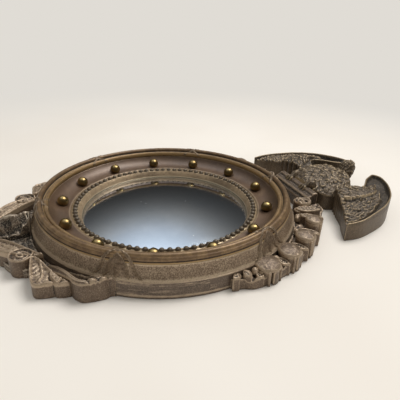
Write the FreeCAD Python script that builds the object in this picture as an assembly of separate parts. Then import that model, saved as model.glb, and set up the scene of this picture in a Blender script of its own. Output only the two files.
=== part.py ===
"""Girandole mirror: a round convex mirror in a moulded, bronzed frame, with an eagle above
and an acanthus pendant below.

The mirror lies on its back. The origin is the ring's centre on the flat back, +Z comes out
of the glass towards the viewer, +Y points to the eagle, and all lengths are millimetres.
"""
import FreeCAD, Part
import math
import os
from FreeCAD import Vector

os.makedirs("parts", exist_ok=True)

# ---------------------------------------------------------------- driving dimensions
# Ring seen in section: radii from the centre, heights above the flat back.
flange_radius = 139.7          # outer wall of the base ring
flange_height = 16.5           # flat side wall of the base ring
frieze_run = 5.1               # width of the stippled slope in plan
frieze_rise = 11.0             # height of the stippled slope
frieze_belly = 0.9             # how far the slope is hollowed
crest_height = 38.0            # top of the outer reed, the highest line of the ring
outer_reed = 2.6               # radius of the outer reed
inner_reed = 1.9               # radius of the inner reed
reed_groove = 1.4              # flat groove between the two reeds
reed_step = 3.2                # the inner reed lies this much lower
cove_lip_drop = 8.3            # fall from the crest to the cove's lip
cove_width = 22.6              # cove in plan, from its lip to its foot
cove_drop = 10.4               # fall of the cove from lip to foot
cove_hollow = 3.9              # sag of the cove below its chord
bead_inset = 4.3               # from the cove's foot in to the string of pearls
bead_diameter = 5.6
bead_count = 82
sight_inset = 10.6             # from the cove's foot in to the clear edge of the glass
sight_lip = 1.6                # thickness of the lip that holds the glass
glass_line = 11.4              # height of the lip's underside

# Balls on the cove
ball_inset = 13.2              # from the cove's lip in to the circle of balls
ball_diameter = 12.2
ball_height = 23.4             # height of the balls' centres
ball_count = 13
ball_dowel = 3.0               # diameter of the peg under each ball
ball_dowel_length = 7.0

# Crossed ribbons on the reeds
tie_count = 6
tie_first_angle = 27.8
tie_lip_span = 4.4             # degrees each way from the crossing, at the cove's lip
tie_foot_span = 9.0            # and at the foot of the slope
tie_foot_clearance = 0.6       # the ties stop this far above the base ring
ribbon_width = 3.6
ribbon_thickness = 1.2
tie_leaf_count = 3             # leaves between the arms of each crossing
tie_leaf_width = 8.0
tie_leaf_thickness = 0.7

# Glass and back
glass_thickness = 2.0
glass_rise = 13.5              # bulge of the convex glass
glass_overlap = 3.0            # how far the glass runs under the lip
glass_play = 0.5
silver_thickness = 0.5         # silvering and its backing paint
spacer_width = 7.0
backboard_thickness = 2.0
backboard_margin = 32.7        # from the base ring's wall in to the backboard's edge
backboard_play = 0.5
board_screw_inset = 3.3        # from the backboard's edge in to its screws
board_screw_count = 6
screw_shank = 2.4
screw_head = 5.6
screw_head_depth = 1.5
board_screw_length = 11.0

# Hanger in its pocket, at the top of the back
hanger_drop = 15.7             # from the base ring's wall down to the barrel's axis
hanger_width = 13.0
hanger_plate_length = 12.0
hanger_plate_thickness = 1.0
hanger_barrel_bore = 2.3
hanger_barrel_wall = 0.8
ring_wire = 2.0
ring_radius = 8.5              # centre line of the hanging ring
pocket_margin = 1.6            # room round the hanger in its pocket
pocket_corner = 2.0
hanger_screw_spacing = 7.0
hanger_screw_length = 9.0

# Ornament in plan: lengths beyond the base ring's wall, and heights
backing_height = 9.0           # carved backing under the applied ornament
dowel_diameter = 5.0
dowel_length = 20.0
plinth_gap = 16.3              # open gap between ring and the eagle's plinth
plinth_half_length = 37.0
plinth_depth = 16.0
plinth_height = 23.0
bracket_radius = 10.0
bracket_height = 21.0
bracket_offset = 5.0           # rolled leaf beyond the plinth's end
bracket_drop = 7.5             # and below the plinth's lower edge
body_top = 38.0
body_crown_radius = 61.0
wing_top = 30.0
wing_crown_radius = 600.0
feather_thickness = 1.2
wing_trailing_edge = ((36, 40), (46, 34), (60, 28), (75, 22), (88, 14), (103.7, 5.8))
wing_leading_edge = ((103.7, 5.8), (105, 22), (101, 39), (91, 65), (78, 84), (66, 95),
                     (51, 105), (37, 111), (27, 113), (20, 108), (24, 99), (31, 88),
                     (42, 77), (48, 68), (45, 61), (36, 60))
head_radius = 10.2
head_reach = 84.0              # middle of the head beyond the plinth's lower edge
head_height = 33.5             # height of the middle of the head
beak_length = 11.0
acorn_count = 4
acorn_first_angle = 22.2
acorn_pitch = 11.3             # degrees from one acorn to the next
acorn_first_reach = 5.6        # first acorn's centre beyond the flange wall
acorn_reach_step = 4.6
acorn_first_radius = 12.0
acorn_radius_step = 1.0
acorn_first_height = 17.5
acorn_height_step = 2.2
acorn_cap = 3.5                # thickness of each acorn's flat cap
acorn_slot_width = 3.6
acorn_slot_depth = 4.0
berry_radius = 3.2
swag_leaf_height = 16.0
scroll_height = 21.0
corner_leaf_height = 14.0
volute_radius = 11.0
volute_height = 19.0
volute_eye = 4.0
pocket_places = ((-79.5, 19.5, 5.0, 7.5), (-70.5, 8.5, 3.6, 6.0), (-41.5, 6.8, 4.0, 6.0))
ridge_height = 30.0
ridge_half_width = 13.0
pendant_length = 47.3          # from the flange wall to the lowest tip

# ---------------------------------------------------------------- helpers
Z = Vector(0, 0, 1)
ORIGIN = Vector(0, 0, 0)


def polar(angle, beyond):
    """A point in plan at an angle from +X, at a distance beyond the base ring's wall."""
    reach = flange_radius + beyond
    return Vector(reach * math.cos(math.radians(angle)), reach * math.sin(math.radians(angle)), 0)


def eagle_point(x, y):
    """A point in plan measured from the middle of the plinth's lower edge."""
    return Vector(x, flange_radius + plinth_gap + y, 0)


def line(*points):
    return [Part.LineSegment(a, b).toShape() for a, b in zip(points, points[1:])]


def curve(*points):
    spline = Part.BSplineCurve()
    spline.interpolate(list(points))
    return [spline.toShape()]


def arc(start, through, end):
    return [Part.Arc(start, through, end).toShape()]


def face(*stretches):
    edges = [edge for stretch in stretches for edge in stretch]
    return Part.Face(Part.Wire(edges))


def raised(plan, low, high):
    """A plan face made a block with upright walls."""
    block = plan.extrude(Z * (high - low))
    block.translate(Z * low)
    return block


def ring(*stretches):
    """A section in the X-Z plane turned once round the ring's axis."""
    return face(*stretches).revolve(ORIGIN, Z, 360)


def at(radius, height):
    return Vector(radius, 0, height)


def rod(start, end, diameter):
    way = end - start
    return Part.makeCylinder(diameter / 2, way.Length, start, way)


def without(solid, *cutters):
    """The solid less what is already there, as one clean shape."""
    return solid.cut(list(cutters)).removeSplitter()


def mirrored(shape):
    return shape.mirror(ORIGIN, Vector(1, 0, 0))


def around(count, first_angle=0.0):
    return [first_angle + index * 360.0 / count for index in range(count)]


def turned(shape, angle):
    copy = shape.copy()
    copy.rotate(ORIGIN, Z, angle)
    return copy


def crown(x, y, top, radius):
    """A ball whose highest point is at a plan point: its cap domes an ornament's top."""
    centre = Vector(x, y, top - radius)
    return Part.makeSphere(radius, centre)


# ---------------------------------------------------------------- derived sizes
frieze_foot_radius = flange_radius - 0.6
frieze_top_radius = flange_radius - frieze_run
frieze_top = flange_height + frieze_rise
outer_reed_radius = frieze_top_radius - 2 * outer_reed
inner_reed_radius = outer_reed_radius - outer_reed - reed_groove - inner_reed
moulding_inner_radius = inner_reed_radius + 0.5
cove_outer_radius = moulding_inner_radius - 0.8
cove_inner_radius = cove_outer_radius - cove_width
cove_lip = crest_height - cove_lip_drop
cove_foot = cove_lip - cove_drop
ball_circle = cove_outer_radius - ball_inset
bead_circle = cove_inner_radius - bead_inset
bead_seat = cove_foot - 0.9
sight_radius = cove_inner_radius - sight_inset
glass_radius = sight_radius + glass_overlap
backboard_radius = flange_radius - backboard_margin
board_screw_circle = backboard_radius - board_screw_inset
hanger_barrel_y = flange_radius - hanger_drop
pocket_floor = hanger_barrel_bore + 2 * hanger_barrel_wall + 0.8
backboard_rebate = backboard_radius + backboard_play
sphere_radius = (glass_radius ** 2 + glass_rise ** 2) / (2 * glass_rise)
glass_apex = glass_line + sphere_radius - math.sqrt(sphere_radius ** 2 - sight_radius ** 2)


# ---------------------------------------------------------------- ring
def hanger_pocket():
    half = max(hanger_width / 2, ring_radius + ring_wire / 2) + pocket_margin
    low = hanger_barrel_y - hanger_plate_length - pocket_margin
    high = hanger_barrel_y + ring_radius + ring_wire / 2 + pocket_margin
    block = Part.makeBox(2 * half, high - low, pocket_floor, Vector(-half, low, 0))
    upright = [edge for edge in block.Edges if abs(edge.tangentAt(edge.FirstParameter).z) > 0.99]
    return block.makeFillet(pocket_corner, upright)


def make_back_flange():
    bore = cove_inner_radius - 0.2
    body = ring(line(at(bore, backboard_thickness), at(backboard_rebate, backboard_thickness),
                     at(backboard_rebate, 0), at(flange_radius, 0),
                     at(flange_radius, flange_height), at(bore, flange_height),
                     at(bore, backboard_thickness)))
    return without(body, hanger_pocket())


def slope_middle():
    return at((frieze_foot_radius + frieze_top_radius) / 2 - frieze_belly,
              flange_height + frieze_rise / 2)


def make_stippled_frieze():
    foot = at(frieze_foot_radius, flange_height)
    return ring(line(at(moulding_inner_radius, flange_height), foot),
                arc(foot, slope_middle(), at(frieze_top_radius, frieze_top)),
                line(at(frieze_top_radius, frieze_top), at(moulding_inner_radius, frieze_top),
                     at(moulding_inner_radius, flange_height)))


def reed_section(radius_at, size, top):
    """Start, crest and end of one half-round reed."""
    return at(radius_at + size, top - size), at(radius_at, top), at(radius_at - size, top - size)


def make_reeded_moulding():
    outer = reed_section(outer_reed_radius, outer_reed, crest_height)
    inner = reed_section(inner_reed_radius, inner_reed, crest_height - reed_step)
    band_top = at(outer[0].x, outer[0].z)
    band_foot = at(frieze_top_radius - 0.4, frieze_top)
    band_belly = at(band_top.x + 1.0, (band_top.z + band_foot.z) / 2)
    groove_out = outer[2] + Vector(0, 0, -1.2)
    groove_in = at(inner[0].x, groove_out.z)
    lip = at(moulding_inner_radius, cove_lip)
    return ring(line(at(moulding_inner_radius, frieze_top), band_foot),
                arc(band_foot, band_belly, band_top), arc(*outer),
                line(outer[2], groove_out, groove_in, inner[0]), arc(*inner),
                line(inner[2], at(inner[2].x, lip.z), lip, at(moulding_inner_radius, frieze_top)))


def make_cove_ring():
    lip = at(cove_outer_radius, cove_lip)
    foot = at(cove_inner_radius, cove_foot)
    chord = lip - foot
    sag = Vector(chord.z, 0, -chord.x).normalize() * cove_hollow
    middle = (lip + foot) * 0.5 + sag
    return ring(line(at(cove_inner_radius, flange_height), at(moulding_inner_radius, flange_height),
                     at(moulding_inner_radius, cove_lip), lip),
                arc(lip, middle, foot), line(foot, at(cove_inner_radius, flange_height)))


def make_sight_ring():
    glass_pocket = glass_radius + glass_play
    outer = cove_inner_radius - 0.2
    rim = at(sight_radius + 3.3, bead_seat)
    lip_top = at(sight_radius, glass_line + sight_lip)
    waist = at(sight_radius + 1.0, (rim.z + lip_top.z) / 2)
    upper = ring(line(at(glass_pocket, glass_line), at(glass_pocket, backboard_thickness),
                      at(outer, backboard_thickness), at(outer, bead_seat), rim),
                 arc(rim, waist, lip_top),
                 line(lip_top, at(sight_radius, glass_line), at(glass_pocket, glass_line)))
    return upper


def make_bead_ring():
    half = bead_diameter / 2
    tiers = ((0.0, 1.0), (0.55, 0.94), (0.98, 0.52))
    sections = []
    for height, spread in tiers:
        corners = [Vector(bead_circle + half * spread * math.cos(math.radians(a)),
                          half * spread * math.sin(math.radians(a)), bead_seat + half * height)
                   for a in around(8, 22.5)]
        sections.append(Part.makePolygon(corners + corners[:1]))
    bead = Part.makeLoft(sections, True, True)
    return Part.makeCompound([turned(bead, a) for a in around(bead_count)])


def make_ball_studs(cove):
    balls = []
    pegs = []
    for angle in around(ball_count, 90.0):
        centre = Vector(ball_circle * math.cos(math.radians(angle)),
                        ball_circle * math.sin(math.radians(angle)), ball_height)
        peg = rod(centre - Z * (ball_diameter / 2 + ball_dowel_length - 2), centre, ball_dowel)
        ball = Part.makeSphere(ball_diameter / 2, centre).cut(cove)
        balls.append(ball.fuse(peg).removeSplitter())
        pegs.append(peg)
    return Part.makeCompound(balls), pegs


def tie_saddle(thickness, taken):
    """A skin over the slope and both reeds, as wide as one tie."""
    low = cove_lip + 0.6
    foot_height = flange_height + tie_foot_clearance
    foot = at(frieze_foot_radius + thickness / 3, foot_height)
    brow = at(frieze_top_radius + thickness, frieze_top + 1.0)
    lip = at(moulding_inner_radius, low)
    hull = face(arc(foot, slope_middle() + Vector(thickness, 0, 0), brow),
                curve(brow, at(outer_reed_radius + outer_reed + thickness,
                               crest_height - outer_reed),
                      at(outer_reed_radius, crest_height + thickness),
                      at(inner_reed_radius, crest_height - reed_step + 1.6 * thickness), lip),
                line(lip, at(moulding_inner_radius + 4, low),
                     at(frieze_top_radius - 3, frieze_top + 1.0),
                     at(frieze_top_radius - 3, foot_height), foot))
    span = tie_foot_span + 0.5
    hull.rotate(ORIGIN, Z, -span)
    return hull.revolve(ORIGIN, Z, 2 * span).cut(taken)


def strip(start, end, width, height):
    """An upright slab along the line between two plan points, a little longer than it."""
    way = end - start
    spare = width / 2
    slab = Part.makeBox(way.Length + 2 * spare, width, height, Vector(-spare, -width / 2, 0))
    slab.rotate(ORIGIN, Z, math.degrees(math.atan2(way.y, way.x)))
    slab.translate(start)
    return slab


def make_ribbon_ties(moulding, frieze):
    """Two ribbons cross over the reeds, six times round, with leaves between their arms."""
    def on_ring(radius, angle):
        return turned(Part.Vertex(radius, 0, 0), angle).Point

    height = 2 * crest_height
    lip_radius = inner_reed_radius - inner_reed
    ribbons = [strip(on_ring(lip_radius, -side * tie_lip_span),
                     on_ring(frieze_foot_radius, side * tie_foot_span), ribbon_width, height)
               for side in (-1, 1)]
    share = tie_lip_span / (tie_lip_span + tie_foot_span)
    crossing = Vector(lip_radius + share * (frieze_foot_radius - lip_radius), 0, 0)
    pitch = 2 * tie_foot_span / (tie_leaf_count + 1)
    blades = [raised(feather_plan(crossing - Vector(1, 0, 0),
                                  on_ring(flange_radius, (index + 1) * pitch - tie_foot_span),
                                  tie_leaf_width), 0, height)
              for index in range(tie_leaf_count)]
    cross = tie_saddle(ribbon_thickness, [moulding, frieze]).common(ribbons[0].fuse(ribbons[1]))
    leaves = tie_saddle(tie_leaf_thickness, [moulding, frieze]).common(
        blades[0].fuse(blades[1:]))
    tie = cross.fuse(leaves).removeSplitter()
    return Part.makeCompound([turned(tie, a) for a in around(tie_count, tie_first_angle)])


# ---------------------------------------------------------------- glass and back
def shell(top, thickness, edge):
    """A dished disc: two arcs about one centre, closed by a straight ground edge."""
    centre = top - sphere_radius
    outer = sphere_radius
    inner = sphere_radius - thickness

    def on(radius, reach):
        return at(reach, centre + math.sqrt(radius ** 2 - reach ** 2))

    return ring(arc(at(0, centre + outer), on(outer, edge / 2), on(outer, edge)),
                line(on(outer, edge), on(inner, edge)),
                arc(on(inner, edge), on(inner, edge / 2), at(0, centre + inner)),
                line(at(0, centre + inner), at(0, centre + outer)))


def make_convex_glass():
    return shell(glass_apex, glass_thickness, glass_radius)


def make_silver_coat():
    centre = glass_apex - sphere_radius
    inner = sphere_radius - glass_thickness
    thin = inner - silver_thickness

    def on(radius, reach):
        return at(reach, centre + math.sqrt(radius ** 2 - reach ** 2))

    edge = glass_radius - 1.0
    return ring(arc(at(0, centre + inner), on(inner, edge / 2), on(inner, edge)),
                line(on(inner, edge), on(thin, edge)),
                arc(on(thin, edge), on(thin, edge / 2), at(0, centre + thin)),
                line(at(0, centre + thin), at(0, centre + inner)))


def make_glass_spacer():
    centre = glass_apex - sphere_radius
    under = sphere_radius - glass_thickness - silver_thickness
    top = centre + math.sqrt(under ** 2 - (glass_radius - 0.4) ** 2) - 0.1
    outer = glass_radius - 0.4
    return ring(line(at(outer - spacer_width, backboard_thickness), at(outer, backboard_thickness),
                     at(outer, top), at(outer - spacer_width, top),
                     at(outer - spacer_width, backboard_thickness)))


def make_backboard():
    return Part.makeCylinder(backboard_radius, backboard_thickness)


def countersunk(tip_length):
    head = Part.makeCone(screw_head / 2, screw_shank / 2, screw_head_depth)
    shank = Part.makeCylinder(screw_shank / 2, tip_length)
    return head.fuse(shank).removeSplitter()


def make_backboard_screws():
    screws = []
    for angle in around(board_screw_count, 0.0):
        screw = countersunk(board_screw_length)
        screw.translate(Vector(board_screw_circle, 0, 0))
        screws.append(turned(screw, angle))
    return screws


# ---------------------------------------------------------------- hanger
def barrel_axis(x):
    return Vector(x, hanger_barrel_y, pocket_floor - hanger_barrel_wall - hanger_barrel_bore / 2)


def make_hanger_plate():
    outer = hanger_barrel_bore + 2 * hanger_barrel_wall
    half = hanger_width / 2
    plate = Part.makeBox(hanger_width, hanger_plate_length, hanger_plate_thickness,
                         Vector(-half, hanger_barrel_y - hanger_plate_length,
                                pocket_floor - hanger_plate_thickness))
    barrel = rod(barrel_axis(-half), barrel_axis(half), outer)
    return plate.fuse(barrel).cut(rod(barrel_axis(-half - 1), barrel_axis(half + 1),
                                      hanger_barrel_bore)).removeSplitter()


def make_hanger_screws():
    length = hanger_screw_length
    y = hanger_barrel_y - hanger_plate_length / 2 - 1.0
    screws = []
    for side in (-1, 1):
        low = Vector(side * hanger_screw_spacing / 2, y,
                     pocket_floor - hanger_plate_thickness - 0.8)
        dome = Part.makeCylinder(screw_head / 2 - 0.6, 0.8, low)
        shank = rod(low, low + Z * length, screw_shank)
        screws.append(dome.fuse(shank).removeSplitter())
    return screws


def make_hanging_ring():
    """A D of wire: its straight bar turns in the barrel, its bow takes the wall hook."""
    axis_point = barrel_axis(0)
    bow = Part.makeTorus(ring_radius, ring_wire / 2, axis_point, Z, 0, 360, 180)
    bar = rod(barrel_axis(-ring_radius), barrel_axis(ring_radius), ring_wire)
    knees = [Part.makeSphere(ring_wire / 2, barrel_axis(side * ring_radius)) for side in (-1, 1)]
    return bar.fuse([bow] + knees).removeSplitter()


# ---------------------------------------------------------------- eagle
def make_eagle_plinth():
    """A short moulded bar: its long facets run its whole length."""
    back = flange_radius + plinth_gap
    section = [(0, 0), (0, 0.62), (0.12, 0.62), (0.20, 0.82), (0.52, 0.90), (0.60, 1.0), (1, 1), (1, 0)]
    corners = [Vector(-plinth_half_length, back + y * plinth_depth, z * plinth_height)
               for y, z in section]
    outline = Part.Face(Part.makePolygon(corners + corners[:1]))
    return outline.extrude(Vector(2 * plinth_half_length, 0, 0))


def make_plinth_bracket():
    """A rolled leaf that ends the plinth: a drum with a raised eye."""
    centre = eagle_point(plinth_half_length + bracket_offset, -bracket_drop)
    drum = Part.makeCylinder(bracket_radius, bracket_height - backing_height,
                             centre + Z * backing_height)
    eye = Part.makeCylinder(bracket_radius * 0.45, 2.0, centre + Z * bracket_height)
    return drum.fuse(eye).removeSplitter()


def body_plan():
    right = [eagle_point(20, plinth_depth), eagle_point(36, 27), eagle_point(42, 42),
             eagle_point(43, 62)]
    neck = [eagle_point(43, 62), eagle_point(25, 70), eagle_point(11, head_reach - 5)]
    flip = [Vector(-p.x, p.y, 0) for p in reversed(right)]
    flip_neck = [Vector(-p.x, p.y, 0) for p in reversed(neck)]
    return face(line(Vector(-right[0].x, right[0].y, 0), right[0]), curve(*right), curve(*neck),
                line(neck[-1], flip_neck[0]), curve(*flip_neck), curve(*flip))


def make_eagle_body():
    dome = crown(0, eagle_point(0, 51).y, body_top, body_crown_radius)
    return raised(body_plan(), 0, body_top + 1).common(dome)


def make_eagle_head():
    """The head is turned to its right, with a hooked beak."""
    centre = eagle_point(0, head_reach) + Z * head_height
    skull = Part.makeSphere(head_radius, centre)
    neck = Part.makeCylinder(head_radius * 0.94, head_height, eagle_point(0, head_reach - 1))
    root = centre + Vector(-head_radius * 0.55, 3.0, 1.0)
    beak = Part.makeCone(head_radius * 0.52, 1.6, beak_length, root, Vector(-1, 0.25, -0.35))
    brow = Part.makeSphere(head_radius * 0.62, centre + Vector(-2.0, 3.5, 4.2))
    return skull.fuse([neck, beak, brow]).removeSplitter()


def make_eagle_legs():
    """Two feathered shanks come down over the plinth, with three talons each."""
    legs = []
    for side in (-1, 1):
        hip = eagle_point(side * 17, plinth_depth + 2) + Z * (plinth_height + 5.5)
        ankle = eagle_point(side * 15, 5) + Z * (plinth_height + 1.5)
        leg = Part.makeCone(7.0, 3.6, (ankle - hip).Length, hip, ankle - hip)
        toes = [rod(ankle, ankle + Vector(4.5 * spread, -6.5, -4.0), 3.2) for spread in (-1, 0, 1)]
        legs.append(leg.fuse(toes + [Part.makeSphere(3.6, ankle)]).removeSplitter())
    return legs


def wing_plan():
    trailing = [eagle_point(x, y) for x, y in wing_trailing_edge]
    leading = [eagle_point(x, y) for x, y in wing_leading_edge]
    return face(curve(*trailing), curve(*leading), line(leading[-1], trailing[0]))


def wing_dome(rise=0.0):
    return crown(20, eagle_point(0, 79).y, wing_top + rise, wing_crown_radius + rise)


def make_wing(body):
    return without(raised(wing_plan(), 0, wing_top + 1).common(wing_dome()), body)


def feather_plan(root, tip, width):
    """A pointed blade between two plan points."""
    way = tip - root
    side = Vector(-way.y, way.x, 0).normalize() * (width / 2)
    left = root + way * 0.55 + side
    right = root + way * 0.55 - side
    return face(curve(root, root + way * 0.2 + side * 0.7, left, tip),
                curve(tip, right, root + way * 0.2 - side * 0.7, root))


def make_wing_feathers(wing):
    """Rows of blades lie on the domed wing: long flight feathers, then shorter coverts."""
    rows = ((8, (48, 58), (84, 66), (50, 33), (101, 10), 9.5, 0.0),
            (6, (46, 68), (78, 82), (50, 48), (92, 40), 10.5, feather_thickness),
            (4, (44, 86), (60, 98), (52, 68), (78, 70), 11.0, feather_thickness))
    feathers = []
    taken = []
    for count, root_a, root_b, tip_a, tip_b, width, level in rows:
        skin = wing_dome(level + feather_thickness).cut(wing_dome(level))
        for index in range(count):
            share = index / (count - 1)
            root = eagle_point(root_a[0] + share * (root_b[0] - root_a[0]),
                               root_a[1] + share * (root_b[1] - root_a[1]))
            tip = eagle_point(tip_a[0] + share * (tip_b[0] - tip_a[0]),
                              tip_a[1] + share * (tip_b[1] - tip_a[1]))
            blade = raised(feather_plan(root, tip, width), 0, wing_top + 8).common(skin)
            blade = blade.common(raised(wing_plan(), 0, wing_top + 8))
            for other in taken:
                blade = blade.cut(other)
            taken.append(blade)
            feathers.extend(solid for solid in blade.Solids if solid.Volume > 2.0)
    return feathers


# ---------------------------------------------------------------- swags
def swag_plan():
    outer = [polar(6.5, -4), polar(8.5, 3), polar(11.5, 6), polar(16, 12), polar(27, 15.5),
             polar(38.5, 19), polar(50.5, 24), polar(60, 29), polar(68.7, 33), polar(73.0, 39)]
    top = eagle_point(plinth_half_length, plinth_depth + 3)
    inner = eagle_point(plinth_half_length + bracket_offset - bracket_radius - 1, -bracket_drop)
    root = polar(72, -4)
    mid = polar(40, -4)
    return face(curve(*outer), line(outer[-1], top, inner, root), arc(root, mid, outer[0]))


def acorn_place(index):
    centre = polar(acorn_first_angle + acorn_pitch * index,
                   acorn_first_reach + acorn_reach_step * index)
    radius = acorn_first_radius - acorn_radius_step * index
    top = acorn_first_height + acorn_height_step * index
    return centre, radius, top


def acorn_drum(index, low, high):
    centre, radius, top = acorn_place(index)
    return Part.makeCylinder(radius, high - low, centre + Z * low)


def acorn_slots(index):
    """Upright slots in an acorn's outer wall, from the back up to its cap."""
    centre, radius, top = acorn_place(index)
    outward = math.degrees(math.atan2(centre.y, centre.x))
    slots = []
    for turn in (-32, 22):
        slot = Part.makeBox(2 * acorn_slot_depth, acorn_slot_width, top - acorn_cap,
                            Vector(radius - acorn_slot_depth, -acorn_slot_width / 2, 0))
        slot.rotate(ORIGIN, Z, outward + turn)
        slot.translate(centre)
        slots.append(slot)
    return slots


def make_acorn(index):
    """A flat-capped drum that stands on the backing and goes on down its wall."""
    centre, radius, top = acorn_place(index)
    drum = acorn_drum(index, backing_height, top)
    cap = Part.makeCone(radius, radius - 1.4, 1.6, centre + Z * top)
    return without(drum.fuse(cap), *acorn_slots(index))


def make_swag_backing():
    """The leafy board beside the ring, with a round lobe under each acorn."""
    board = raised(swag_plan(), 0, backing_height)
    numbers = range(acorn_count)
    board = board.fuse([acorn_drum(index, 0, backing_height) for index in numbers])
    return without(board, *[slot for index in numbers for slot in acorn_slots(index)])


def between_acorns(index):
    """The angle of the hollow before an acorn, or after the last one."""
    return acorn_first_angle + acorn_pitch * (index - 0.5)


def make_swag_leaves():
    """A leaf points out of each hollow, with a tongue at the foot and a frond at the head."""
    spans = [(acorn_first_angle - acorn_pitch, 0.5, 6.0), (acorn_first_angle + 4 * acorn_pitch, 3.0, 31.0)]
    spans += [(between_acorns(index), 2 * berry_radius + 1.4, 13.0 + acorn_reach_step * index)
              for index in range(acorn_count + 1)]
    leaves = []
    for angle, start, end in spans:
        plan = feather_plan(polar(angle, start), polar(angle + 1.0, end), 9.0)
        middle = polar(angle, (start + end) / 2)
        dome = crown(middle.x, middle.y, swag_leaf_height, 26)
        leaves.append(raised(plan, backing_height, swag_leaf_height + 1).common(dome))
    return leaves


def make_berries():
    """A berry sits at the root of each hollow, against the ring."""
    berries = []
    for index in range(acorn_count + 1):
        place = polar(between_acorns(index), berry_radius + 0.6) + Z * backing_height
        stem = Part.makeCylinder(berry_radius, 4.0, place)
        bead = Part.makeSphere(berry_radius, place + Z * 4.0)
        berries.append(stem.fuse(bead).removeSplitter())
    return berries


# ---------------------------------------------------------------- pendant
def pendant_plan():
    """Half the pendant's outline, from the ring round its scrolls to the tip."""
    scroll = [polar(-32.0, -4), polar(-33.8, 2), polar(-35.2, 7), polar(-39.8, 15.4),
              polar(-43.0, 15.6), polar(-45.3, 13.2)]
    lobe = [scroll[-1], polar(-46.3, 16.6), polar(-48.2, 20.0), polar(-49.4, 20.4)]
    leaf = [lobe[-1], polar(-50.8, 25.0), polar(-53.3, 30.3), polar(-56.3, 27.6),
            polar(-61.1, 19.4), polar(-63.6, 15.6)]
    volute = [leaf[-1], polar(-63.6, 20.4), polar(-66.4, 25.6), polar(-71.1, 29.9),
              polar(-76.0, 31.6)]
    tip = [volute[-1], polar(-80.0, 35.0), polar(-85.5, 42.5), polar(-90, pendant_length)]
    return face(curve(*scroll), curve(*lobe), curve(*leaf), curve(*volute), curve(*tip),
                line(tip[-1], polar(-90, -4)), arc(polar(-90, -4), polar(-60, -4), scroll[0]))


def pendant_pockets():
    """Pierced and sunk places between the scrolls."""
    cutters = []
    for angle, beyond, half_width, half_length in pocket_places:
        centre = polar(angle, beyond)
        pocket = Part.makeCylinder(half_width, backing_height, centre)
        cutters.append(pocket)
        way = polar(angle + 2.0, beyond) - polar(angle - 2.0, beyond)
        shift = way.normalize() * (half_length - half_width)
        cutters.append(Part.makeCylinder(half_width, backing_height, centre + shift))
    return cutters


def make_c_scroll():
    """The long scroll that leaves the ring, with its rolled volute at the outer end."""
    plan = face(curve(polar(-32.0, -4), polar(-33.8, 2), polar(-35.2, 7), polar(-39.8, 15.4),
                      polar(-43.0, 15.6), polar(-45.3, 13.2)),
                curve(polar(-45.3, 13.2), polar(-51, 10.5), polar(-58, 9.5), polar(-65, 7.0),
                      polar(-70, 2.0), polar(-71, -4)),
                arc(polar(-71, -4), polar(-50, -4), polar(-32.0, -4)))
    centre = polar(-39.5, 7)
    dome = crown(centre.x, centre.y, scroll_height, 110)
    band = raised(plan, backing_height, scroll_height + 1).common(dome)
    pocket = Part.makeCylinder(4.0, scroll_height, polar(-43.5, 5.8) + Z * (backing_height + 2))
    return band.cut(pocket)


def make_corner_leaf():
    """The leaf at the pendant's corner and the small oval leaf beside it."""
    plan = face(curve(polar(-45.3, 13.2), polar(-46.3, 16.6), polar(-48.2, 20.0),
                      polar(-49.4, 20.4)),
                curve(polar(-49.4, 20.4), polar(-50.8, 25.0), polar(-53.3, 30.3),
                      polar(-56.3, 27.6), polar(-61.1, 19.4), polar(-63.6, 15.6)),
                curve(polar(-63.6, 15.6), polar(-64.5, 9.0), polar(-62, 4.0)),
                line(polar(-62, 4.0), polar(-47, 4.0), polar(-45.3, 13.2)))
    centre = polar(-55, 10)
    dome = crown(centre.x, centre.y, corner_leaf_height + 4.0, 60)
    return raised(plan, backing_height, corner_leaf_height + 5.0).common(dome)


def make_volute():
    """A rolled end: a drum with a raised eye and a lower collar."""
    centre = polar(-68.0, 18.2)
    drum = Part.makeCylinder(volute_radius, volute_height - backing_height,
                             centre + Z * backing_height)
    groove = Part.makeCylinder(volute_radius * 0.72, 1.5, centre + Z * (volute_height - 1.5))
    eye = Part.makeCylinder(volute_eye, 3.0, centre + Z * (volute_height - 1.5))
    return drum.cut(groove).fuse(eye).removeSplitter()


def make_long_leaf():
    """The long leaf that lies from the tip towards the ring."""
    plan = feather_plan(polar(-86.0, 39.0), polar(-64.0, 4.0), 17.0)
    centre = polar(-76, 22)
    dome = crown(centre.x, centre.y, volute_height - 2.0, 120)
    return raised(plan, backing_height, volute_height).common(dome)


def make_ridge():
    """The raised middle leaf, highest at the ring and falling to the tip."""
    half = ridge_half_width
    low = polar(-90, pendant_length - 2.5)
    top = Vector(0, -flange_radius + 4, 0)
    shoulder = Vector(half, -flange_radius - 12, 0)
    plan = face(curve(top + Vector(half * 0.6, 0, 0), shoulder, low),
                curve(low, Vector(-shoulder.x, shoulder.y, 0), top - Vector(half * 0.6, 0, 0)),
                line(top - Vector(half * 0.6, 0, 0), top + Vector(half * 0.6, 0, 0)))
    slope = Part.makeCylinder(150, 4 * half, Vector(-2 * half, -flange_radius - 4, ridge_height - 150),
                              Vector(1, 0, 0))
    crest = Part.makeCylinder(26, 120, Vector(0, -flange_radius - 80, ridge_height - 26),
                              Vector(0, 1, 0))
    return raised(plan, backing_height, ridge_height + 1).common(slope).common(crest)


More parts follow.
